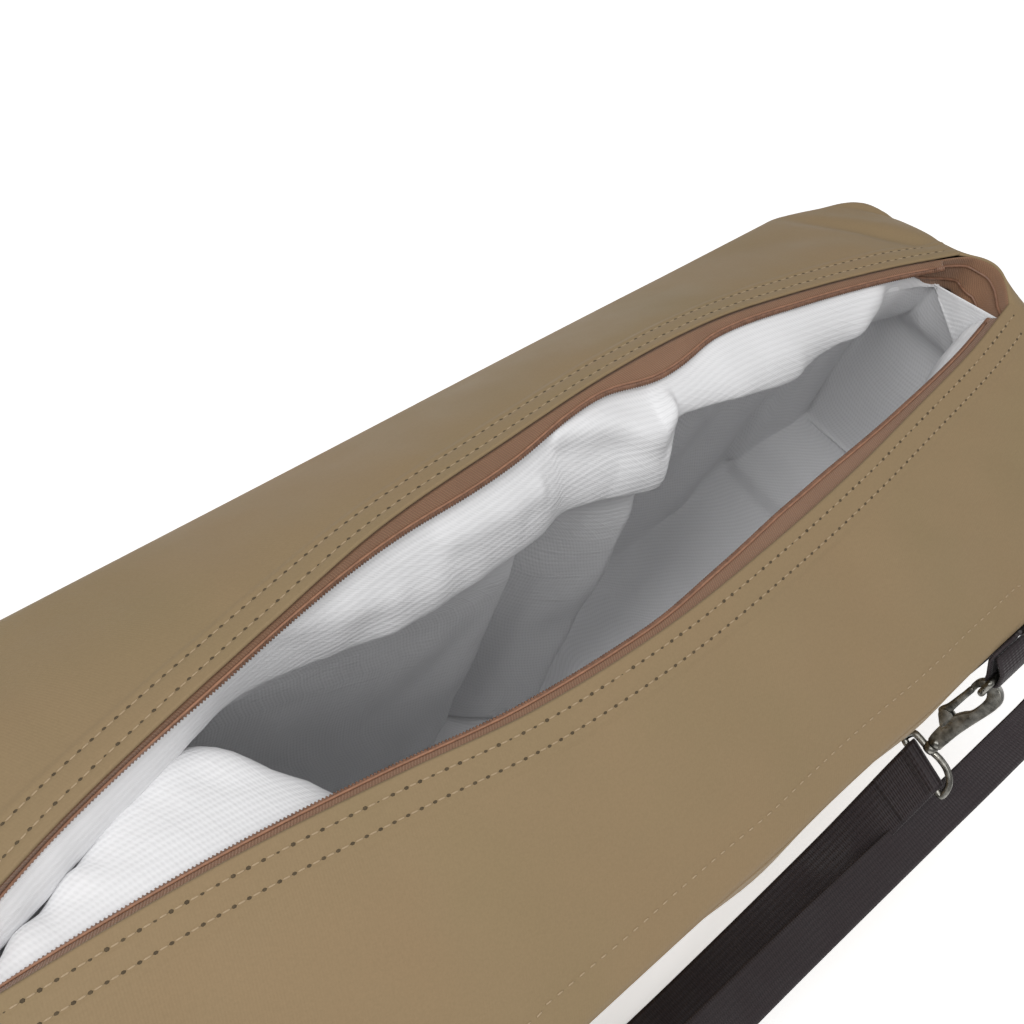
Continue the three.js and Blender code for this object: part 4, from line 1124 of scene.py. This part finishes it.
class BAG_OT_zip(bpy.types.Operator):
    """Zip tapes, coil teeth and slider"""
    bl_idname = "bag.zip"
    bl_label = "Zip"

    def execute(self, context):
        pitch = context.scene.bag_sizes.tooth_pitch / MM
        tape, coil = finish_for("zip_tape"), finish_for("zip_coil")
        for side, name in ((FRONT, "front"), (BACK, "back")):
            s = np.linspace(-TAPE_END, TAPE_END, 320)
            bend, flap, hang, away, width = tape_frame(side, s)
            tuck = [bend + flap * (TAPE_TUCK * share) for share in np.linspace(1, 0, 6)]
            drop = [bend + hang * (width * share) for share in np.linspace(0, 1, 12)[1:]]
            grid = np.stack(tuck + drop, axis=1)
            woven = thick_sheet(f"zip_tape_woven_{name}", grid, TAPE, tape, -side)
            settle(woven, "bag", "zip_tape", f"zip_tape_{name}")
            centre = bend + hang * (width + COIL_RADIUS * 0.5) + away * (TAPE / 2)
            places, along, up = even_places(centre, pitch, away)
            across = unit(np.cross(up, along))
            size = np.array(TOOTH) * (1, pitch, 1)
            teeth = row_of_bits(f"zip_teeth_{name}", places, across, up, size, coil, 7)
            core = tube(f"zip_core_{name}", centre[::4], CORE_RADIUS, coil, 8)
            chain = joined(f"zip_chain_{name}", [teeth, core])
            settle(chain, "bag", "zip_coil", f"zip_coil_{name}")
            beside = centre - hang * CORD_UP - away * CORD_OFF
            cord = tube(f"zip_cord_{name}", beside[::4], CORD_RADIUS, finish_for("cord"), 8)
            settle(cord, "bag", "zip_coil")
        self.turned_end(tape, coil)
        self.closed_end(tape)
        slider = copied_solid("zip_slider_metal", "zip_slider", finish_for("nickel"))
        settle(bevelled(slider, SLIDER_ROUND), "bag", "nickel", "zip_slider")
        return {"FINISHED"}

    @staticmethod
    def closed_end(tape):
        """Tape sewn across under the closed left end of the opening"""
        x, y = np.meshgrid(np.linspace(*CLOSED_END_X, 20), np.linspace(-CLOSED_END_HALF, CLOSED_END_HALF, 12),
                           indexing="ij")
        grid = points3(x, y, CLOSED_END_HEIGHT - CLOSED_END_CROWN * y * y)
        settle(thick_sheet("zip_tape_closed_end", grid, TAPE, tape, 1), "bag", "zip_tape")

    @staticmethod
    def turned_end(tape, coil):
        """The back tape's end, turned round the blunt right end of the opening"""
        start, _, _, away, _ = tape_frame(BACK, np.array(TURN_FROM))
        lip = end_lip(1, np.array(TURN_LIP)) - TURN_OFF_LIP
        path = smooth_line(np.concatenate([start + away * TURN_OFF_TAPE, lip]), 9)
        share = np.linspace(0, 1, len(path))[:, None]
        deep = mix(*TURN_DEPTH, ramp(share, *TURN_DEEPENS)) - TURN_LOST * ramp(share, *TURN_FADES)
        inward = unit(points3(-np.gradient(path[:, 1]), np.gradient(path[:, 0]), 0)) * -1
        turn = ramp(share, *TURN_LEANS)
        rows = []
        for t in np.linspace(0, 1, 14):
            lean = TURN_BELLY * np.sin(np.pi * t) + TURN_LEAN * deep * t * t
            rows.append(path + (0, 0, -1) * deep * t + inward * turn * lean)
        grid = np.stack(rows, axis=1)
        folded = thick_sheet("zip_tape_turned_end", grid, TAPE, tape, -1)
        settle(folded, "bag", "zip_tape")
        cords = [tube(f"zip_end_cord_{i}", grid[:, row] + inward * END_CORD_OFF, END_CORD_RADIUS, coil, 8)
                 for i, row in enumerate(END_CORD_ROWS)]
        settle(joined("zip_end_cords", cords), "bag", "zip_coil")


def copied_solid(name, node, material):
    """A clean mesh copy of a solid, its flat faces whole."""
    mesh = bmesh.new()
    mesh.from_mesh(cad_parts[node].data)
    bmesh.ops.remove_doubles(mesh, verts=mesh.verts, dist=1e-6)
    bmesh.ops.dissolve_limit(mesh, angle_limit=math.radians(1), verts=mesh.verts, edges=mesh.edges)
    data = bpy.data.meshes.new(name)
    mesh.to_mesh(data)
    mesh.free()
    return finish_mesh(name, data, material, False)


# Hook frame: along the hook from its round end, out from the wall, across
HOOK_A = np.array((-math.sin(HOOK_LEAN), 0.0, -math.cos(HOOK_LEAN)))
HOOK_B = np.array((0.0, -1.0, 0.0))
HOOK_N = np.cross(HOOK_A, HOOK_B)
HOOK_OUTLINE = [
    (8.6, -9), (6, -9.4), (3.2, -8.2), (1, -5.4), (0, -1.8), (0.6, 1.8), (2.6, 4.6), (5.5, 6.2), (9, 6.4),
    (16, 5.2), (24, 3.6), (32, 2.4), (39, 1.8), (42, 1.2), (42, -5.6), (38, -6.4), (31, -6.2), (27, -5.8),
    (21.5, -3.2), (19, -1.4), (15.5, -0.5), (11, -0.1), (7.6, -0.4), (5.6, -1.8), (4.9, -3.8), (5.6, -5.6),
    (7, -6.3), (8.6, -6.4)]
GATE_TIP = 9
GATE_OUTLINE = [
    (GATE_TIP, -6.5), (GATE_TIP, -9), (14, -9.8), (20, -10.6), (24, -11.2), (27, -12.4), (28.4, -12.4),
    (29.6, -11.2), (31.5, -9.6), (31, -7.2), (26.5, -7), (21, -6.9), (15, -6.6)]
CHEEK_OUTLINE = [(25.5, -5), (25.6, -9.6), (27, -11.2), (29, -11.2), (31, -9.4), (34, -5)]
BAIL_RIGHT_ARM = [(47, -2.2), (46.8, 4.5), (48.6, 11), (52.5, 15.4), (56.5, 16.9)]
BAIL_LEFT_ARM = [(48.5, -13.6), (46.4, -12.2), (46.2, -9.2), (46.6, -5.6), (47, -2.2)]
# Turned parts of the swivel: place along the hook and radius
COLLAR = [(39.5, 3.0), (40.5, 3.6), (41.2, 3.9), (43.0, 3.9), (43.5, 3.5)]
KNOB = [(43.9, 2.6), (44.3, 3.3), (45.4, 3.6), (47.2, 3.5), (48.3, 2.8), (48.8, 1.6)]
STUD = [(38.4, 1.4), (48.0, 1.4)]
FLIP = {False: (1, 1, 1), True: (-1, 1, 1)}


def hook_point(a, out, across=0.0):
    return HOOK_TOP + HOOK_A * a + HOOK_B * out + HOOK_N * across


RING_CENTRE = hook_point(RING_IN_HOOK[0] - RING_RADIUS, RING_IN_HOOK[1])


def plate(name, outline, low, high, round_by, mirror=False):
    """A flat part of the hook with rounded edges."""
    line = smooth_line(outline, 3, True)
    count = len(line)
    points = np.concatenate([[hook_point(a, b, level) for a, b in line] for level in (low, high)])
    faces = [list(range(count)), list(range(2 * count - 1, count - 1, -1))]
    faces += [[i, i + count, (i + 1) % count + count, (i + 1) % count] for i in range(count)]
    piece = mesh_from(name, points * FLIP[mirror], faces, finish_for("nickel"), smooth=False)
    bevelled(face_outward(piece), round_by, 4, 50)
    piece.data.shade_smooth()
    return piece


def lathe(name, profile, mirror):
    """A turned part of the swivel."""
    turn = np.linspace(0, 2 * math.pi, 20, endpoint=False)
    points = [hook_point(a, SWIVEL_OUT + r * math.cos(t), r * math.sin(t)) for a, r in profile for t in turn]
    faces = ring_faces(len(profile), len(turn))
    return face_outward(mesh_from(name, np.array(points) * FLIP[mirror], faces, finish_for("nickel")))


def bail_line():
    along, out = BAIL_HALF_WIDTH * math.sin(BAIL_TILT), BAIL_HALF_WIDTH * math.cos(BAIL_TILT)
    bar = [(BAIL_ALONG + k * along, BAIL_OUT + k * out) for k in (1, 0.5, 0, -0.5, -1)]
    return smooth_line([hook_point(a, b) for a, b in [*BAIL_RIGHT_ARM, *bar, *BAIL_LEFT_ARM]], 7)


def ring_line():
    turn = np.pi * (1 + np.linspace(0, 1, 33))
    curve = np.stack([RING_RADIUS * np.cos(turn), 0 * turn, RING_RADIUS * np.sin(turn)], -1)
    corner = [(RING_RADIUS - inset, 0, height) for inset, height in RING_CORNER]
    bar = [(share * RING_RADIUS, 0, RING_NECK) for share in np.linspace(RING_BAR_SHARE, -RING_BAR_SHARE, 12)]
    far = [(-x, y, z) for x, y, z in reversed(corner)]
    return np.concatenate([curve, corner, bar, far]) + RING_CENTRE


class BAG_OT_hardware(bpy.types.Operator):
    """D-rings and trigger snap hooks"""
    bl_idname = "bag.hardware"
    bl_label = "Hardware"

    def execute(self, context):
        nickel = finish_for("nickel")
        for mirror, name in ((False, "right"), (True, "left")):
            ring = tube(f"ring_wire_{name}", ring_line() * FLIP[mirror], WIRE_RADIUS, nickel, 14, True)
            settle(ring, "bag", "nickel", f"d_ring_{name}")
        body = joined("hook_cast_body", self.body_parts(False))
        settle(body, "bag", "nickel", "hook_body")
        gate = plate("hook_cast_gate", GATE_OUTLINE, -GATE_HALF_THICK, GATE_HALF_THICK, GATE_ROUND)
        settle(gate, "gate", "nickel", "hook_gate")
        bail = joined("hook_swivel_bail", self.bail_parts(False))
        settle(bail, "bag", "nickel", "hook_bail")
        # The left hook is one plain piece, so its gate reaches into the hook's tip
        shut = [(a - 1 if a == GATE_TIP else a, b) for a, b in GATE_OUTLINE]
        gate_left = plate("gate_left", shut, -GATE_HALF_THICK, GATE_HALF_THICK, GATE_ROUND, True)
        left = joined("hook_plain_left", self.body_parts(True) + self.bail_parts(True) + [gate_left])
        settle(left, "bag", "nickel", "hook_left")
        return {"FINISHED"}

    @staticmethod
    def body_parts(mirror):
        outer, inner = HOOK_HALF_THICK, HOOK_HALF_THICK - HOOK_CHEEK
        return [plate("hook_frame", HOOK_OUTLINE, -outer, outer, HOOK_ROUND, mirror),
                plate("hook_cheek_a", CHEEK_OUTLINE, inner, outer, CHEEK_ROUND, mirror),
                plate("hook_cheek_b", CHEEK_OUTLINE, -outer, -inner, CHEEK_ROUND, mirror),
                lathe("hook_collar", COLLAR, mirror)]

    @staticmethod
    def bail_parts(mirror):
        wire = tube("bail_wire", bail_line() * FLIP[mirror], WIRE_RADIUS, finish_for("nickel"), 14)
        return [wire, lathe("bail_knob", KNOB, mirror), lathe("bail_stud", STUD, mirror)]


def ribbon(name, centres, widths, material):
    """A band of webbing: its middle line and the direction of its width at each point."""
    tangent = unit(np.gradient(centres, axis=0))
    widths = unit(widths - tangent * np.sum(widths * tangent, axis=1, keepdims=True))
    face = np.cross(tangent, widths)
    half = WEBBING_WIDTH / 2
    across = np.linspace(-1, 1, 15)
    edge = np.abs(across) == 1
    wide = across * (half - WEBBING_EDGE_INSET * edge)
    deep = WEBBING / 2 * (1 - WEBBING_EDGE_THIN * edge)
    top = [centres + widths * w + face * d for w, d in zip(wide, deep)]
    bottom = [centres + widths * w - face * d for w, d in zip(wide[::-1], deep[::-1])]
    ring = np.stack([*top, centres + widths * half, *bottom, centres - widths * half], axis=1)
    length = np.concatenate([[0], np.cumsum(np.linalg.norm(np.diff(centres, axis=0), axis=1))]) * MM
    v = np.concatenate([across, [1.0], across[::-1], [-1.0]]) * half * MM
    uv = np.stack(np.broadcast_arrays(length[:, None], v[None, :]), -1).reshape(-1, 2)
    return face_outward(mesh_from(name, ring.reshape(-1, 3), ring_faces(*ring.shape[:2]), material, uv))


# Free part of the handle from the top of its leg to its middle: middle line and direction of the width
HANDLE_LEG_X = 202.0
HANDLE_SEAM = 0.5
HANDLE_NEARER = 5.0
HANDLE_LEG_HEIGHTS = (150.0, 180.0, 200.0, 212.0)
HANDLE_HALF = np.array([
    (203, -131, 223, 1, -0.05, 0), (205, -140, 228, 0.95, -0.25, 0.1), (208, -151, 223, 0.8, -0.5, -0.3),
    (206, -160, 208, 0.6, -0.6, -0.5), (197, -164, 187, 0.45, -0.75, -0.5), (175, -165, 155, 0.3, -0.8, -0.5),
    (140, -165, 126, 0.2, -0.82, -0.5), (95, -164.5, 104, 0.1, -0.85, -0.45),
    (48, -164, 92, 0.05, -0.9, -0.4), (0, -164, 88, 0, -0.92, -0.4)], dtype=float)


def handle_rows():
    z = np.array(HANDLE_LEG_HEIGHTS)
    wall = wall_point(FRONT, HANDLE_LEG_X / half_length(z), z)
    wall[:, 1] -= HANDLE_SEAM + WEBBING / 2
    leg = np.concatenate([wall, np.tile((1.0, 0.0, 0.0), (len(z), 1))], axis=1)
    right = np.concatenate([leg, HANDLE_HALF])
    right[:, 1] += HANDLE_NEARER * ramp(np.arange(len(right)), len(z), len(z) + 3)
    left = right[-2::-1] * (-1, 1, 1, -1, 1, 1)
    return np.concatenate([right, left])


def strap_path():
    """Middle line of the strap in the plane of the front wall: x and height, from eye to eye."""
    bar = hook_point(BAIL_ALONG, BAIL_OUT)
    sag = (bar[2] - STRAP_BOTTOM) / bar[0] ** 2
    end_slope = 2 * sag * bar[0]
    share_at = lambda length: 1 - length / math.hypot(1, end_slope) / bar[0]

    def line(share, offset):
        x = bar[0] * share
        slope = np.array((1.0, 2 * sag * x))
        slope /= np.linalg.norm(slope)
        return np.array((x - slope[1] * offset, STRAP_BOTTOM + sag * x * x + slope[0] * offset))

    centre = np.array((bar[0], bar[2]))
    round_by = WIRE_RADIUS + STRAP_EYE_ROOM + WEBBING / 2
    outer = round_by + WEBBING / 2
    eye, sewn = share_at(STRAP_EYE), share_at(STRAP_SEWN + outer)
    main = [line(share, 0) for share in np.linspace(0, eye, 120)]
    under, over = line(eye, 0) - centre, line(eye, WEBBING + STRAP_LAP_GAP) - centre
    start = math.atan2(under[1], under[0])
    sweep = (math.atan2(over[1], over[0]) - start) % (2 * math.pi)
    turn = [centre + round_by * np.array((math.cos(start + sweep * t), math.sin(start + sweep * t)))
            for t in np.linspace(*STRAP_TURN, 26)]
    lap = [line(share, WEBBING + STRAP_LAP_GAP) for share in np.linspace(eye, sewn, 16)]
    half = np.array([*main, *turn, *lap])
    return np.concatenate([half[:0:-1] * (-1, 1), half]), bar


class BAG_OT_webbing(bpy.types.Operator):
    """Handle, strap and ring tabs"""
    bl_idname = "bag.webbing"
    bl_label = "Webbing"

    def execute(self, context):
        webbing = finish_for("webbing")
        rows = handle_rows()
        line = smooth_line(rows[:, :3], 10)
        width = smooth_rows(rows[:, None, 3:], 10)[:, 0]
        handle = ribbon("handle_webbing", line, width, webbing)
        settle(handle, "bag", "webbing", "handle")
        self.strap(webbing)
        for mirror, name in ((False, "right"), (True, "left")):
            self.tab(webbing, mirror, name)
        return {"FINISHED"}

    @staticmethod
    def strap(webbing):
        path, bar = strap_path()
        flat = points3(path[:, 0], STRAP_OUT, path[:, 1])
        strap = ribbon("strap_webbing", flat, np.tile((0.0, -1.0, 0.0), (len(flat), 1)), webbing)
        mesh = strap.data
        place = np.empty(len(mesh.vertices) * 3)
        mesh.vertices.foreach_get("co", place)
        place = place.reshape(-1, 3) / MM
        across = STRAP_OUT - place[:, 1]
        near = 1 - ramp(np.hypot(bar[0] - np.abs(place[:, 0]), bar[2] - place[:, 2]), 0, STRAP_SKEW_REACH)
        skew = HOOK_A * (math.tan(BAIL_TILT) * across * near)[:, None]
        place[:, 1] = mix(STRAP_OUT, bar[1], near) - across
        place[:, 0] += np.sign(place[:, 0]) * skew[:, 0]
        place[:, 2] += skew[:, 2]
        mesh.vertices.foreach_set("co", (place * MM).ravel())
        mesh.update()
        settle(strap, "bag", "webbing", "strap")

    @staticmethod
    def tab(webbing, mirror, name):
        y, z = RING_CENTRE[1], RING_CENTRE[2] + RING_NECK
        round_by = WIRE_RADIUS + TAB_ROOM + WEBBING / 2
        turn = np.linspace(np.pi, 2 * np.pi, 18)
        loop = np.stack([y + round_by * np.cos(turn), z + round_by * np.sin(turn)], -1)
        front_top = (TAB_BACK - 1.5 * WEBBING, TAB_TOP)
        back_top = (TAB_BACK - 0.5 * WEBBING, TAB_TOP)
        rise = z + 2 * (round_by + WEBBING / 2)
        above_loop = loop[0] + (0, round_by + TAB_LOOP_RISE)
        front = [mix(np.array(front_top), above_loop, share) for share in (0.4, 0.8)]
        line = np.array([front_top, *front, *loop, (TAB_BACK - WEBBING / 2, rise), back_top])
        centres = points3(RING_CENTRE[0] * FLIP[mirror][0], line[:, 0], line[:, 1])
        widths = np.tile((1.0, 0.0, 0.0), (len(centres), 1))
        tab = ribbon(f"ring_tab_webbing_{name}", centres, widths, webbing)
        settle(tab, "bag", "webbing", f"ring_tab_{name}")


# Area lights: name, place, what it points at, size in metres, watts
LIGHTS = [
    ("key", (-0.75, -0.75, 1.75), (0.05, 0.02, 0.2), 0.9, 8),
    ("top", (-0.1, 0.1, 2.0), (0.1, 0.0, 0.2), 1.2, 6),
    ("side", (1.5, -1.0, 1.5), (0.1, 0.0, 0.2), 1.2, 4),
    ("left", (-1.35, 0.05, 1.5), (0.28, 0.03, 0.2), 0.6, 10.5)]
SKY_STRENGTH = 0.36
FLOOR_REACH = 6.0
FLOOR_GLOW = 0.45
# Camera fitted to the photograph: heading, tilt down and roll in degrees, place in metres, focal length in
# pixels of a picture of that width
CAMERA_ANGLES = (28.7, 49.5, 23.1)
CAMERA_PLACE = (-0.3576, -0.1494, 0.7281)
CAMERA_FOCAL = 1495.2
CAMERA_PICTURE = 1024
CAMERA_SENSOR = 36


class BAG_OT_stage(bpy.types.Operator):
    """Floor, lights and camera"""
    bl_idname = "bag.stage"
    bl_label = "Stage"

    def execute(self, context):
        scene = context.scene
        scene.view_settings.view_transform = "Standard"
        scene.view_settings.look = "None"
        white = Finish("floor_white", roughness=0.9, glow=(1, 1, 1, 1), glow_strength=FLOOR_GLOW)
        tone = white.noise(white.place(), 1.0)
        white.paint(white.colours(tone, [(0.0, (0.93, 0.93, 0.93)), (1.0, (0.95, 0.95, 0.95))]))
        mesh = bpy.data.meshes.new("floor")
        corners = [(FLOOR_REACH * x, FLOOR_REACH * y, 0) for x, y in ((-1, -1), (1, -1), (1, 1), (-1, 1))]
        mesh.from_pydata(corners, [], [(0, 1, 2, 3)])
        floor = finish_mesh("floor", mesh, white.material, False)
        world = bpy.data.worlds.new("soft_light")
        world.use_nodes = True
        background = world.node_tree.nodes["Background"]
        background.inputs["Color"].default_value = (1, 1, 1, 1)
        background.inputs["Strength"].default_value = SKY_STRENGTH
        scene.world = world
        for row in LIGHTS:
            self.light(*row)
        self.camera(scene)
        return {"FINISHED"}

    @staticmethod
    def light(name, place, target, size, power):
        lamp = bpy.data.lights.new(name, "AREA")
        lamp.energy = power
        lamp.size = size
        piece = bpy.data.objects.new(name, lamp)
        piece.location = place
        aim = Vector(target) - Vector(place)
        piece.rotation_euler = aim.to_track_quat("-Z", "Y").to_euler()
        bpy.context.scene.collection.objects.link(piece)

    @staticmethod
    def camera(scene):
        heading, tilt, roll = (math.radians(angle) for angle in CAMERA_ANGLES)
        level_share = math.cos(tilt)
        forward = Vector((math.cos(heading) * level_share, math.sin(heading) * level_share, -math.sin(tilt)))
        level = forward.cross(Vector((0, 0, 1))).normalized()
        upright = level.cross(forward)
        right = level * math.cos(roll) + upright * math.sin(roll)
        up = upright * math.cos(roll) - level * math.sin(roll)
        data = bpy.data.cameras.new("camera")
        data.sensor_width = CAMERA_SENSOR
        data.lens = CAMERA_FOCAL * CAMERA_SENSOR / CAMERA_PICTURE
        data.clip_start = 0.02
        camera = bpy.data.objects.new("camera", data)
        matrix = Matrix((right, up, -forward)).transposed().to_4x4()
        matrix.translation = Vector(CAMERA_PLACE)
        camera.matrix_world = matrix
        scene.collection.objects.link(camera)
        scene.camera = camera


class BAG_PT_panel(bpy.types.Panel):
    """Steps that build the bag"""
    bl_idname = "BAG_PT_panel"
    bl_label = "Cooler bag"
    bl_space_type = "VIEW_3D"
    bl_region_type = "UI"
    bl_category = "Bag"

    def draw(self, context):
        for group in (context.scene.bag_sizes, context.scene.bag_colours):
            for key in group.__annotations__:
                self.layout.prop(group, key)
        for step in STEPS:
            self.layout.operator(step.bl_idname)


STEPS = (BAG_OT_stage, BAG_OT_canvas, BAG_OT_stitches, BAG_OT_lining, BAG_OT_zip, BAG_OT_hardware,
         BAG_OT_webbing)
CLASSES = (BAG_PG_sizes, BAG_PG_colours, *STEPS, BAG_PT_panel)


def register():
    for each in CLASSES:
        bpy.utils.register_class(each)
    bpy.types.Scene.bag_sizes = bpy.props.PointerProperty(type=BAG_PG_sizes)
    bpy.types.Scene.bag_colours = bpy.props.PointerProperty(type=BAG_PG_colours)


def unregister():
    del bpy.types.Scene.bag_sizes
    del bpy.types.Scene.bag_colours
    for each in reversed(CLASSES):
        bpy.utils.unregister_class(each)


def main():
    register()
    bpy.ops.bag.stage()
    bpy.ops.bag.canvas()
    bpy.ops.bag.stitches()
    bpy.ops.bag.lining()
    bpy.ops.bag.zip()
    bpy.ops.bag.hardware()
    bpy.ops.bag.webbing()
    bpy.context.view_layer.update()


if __name__ == "__main__":
    main()
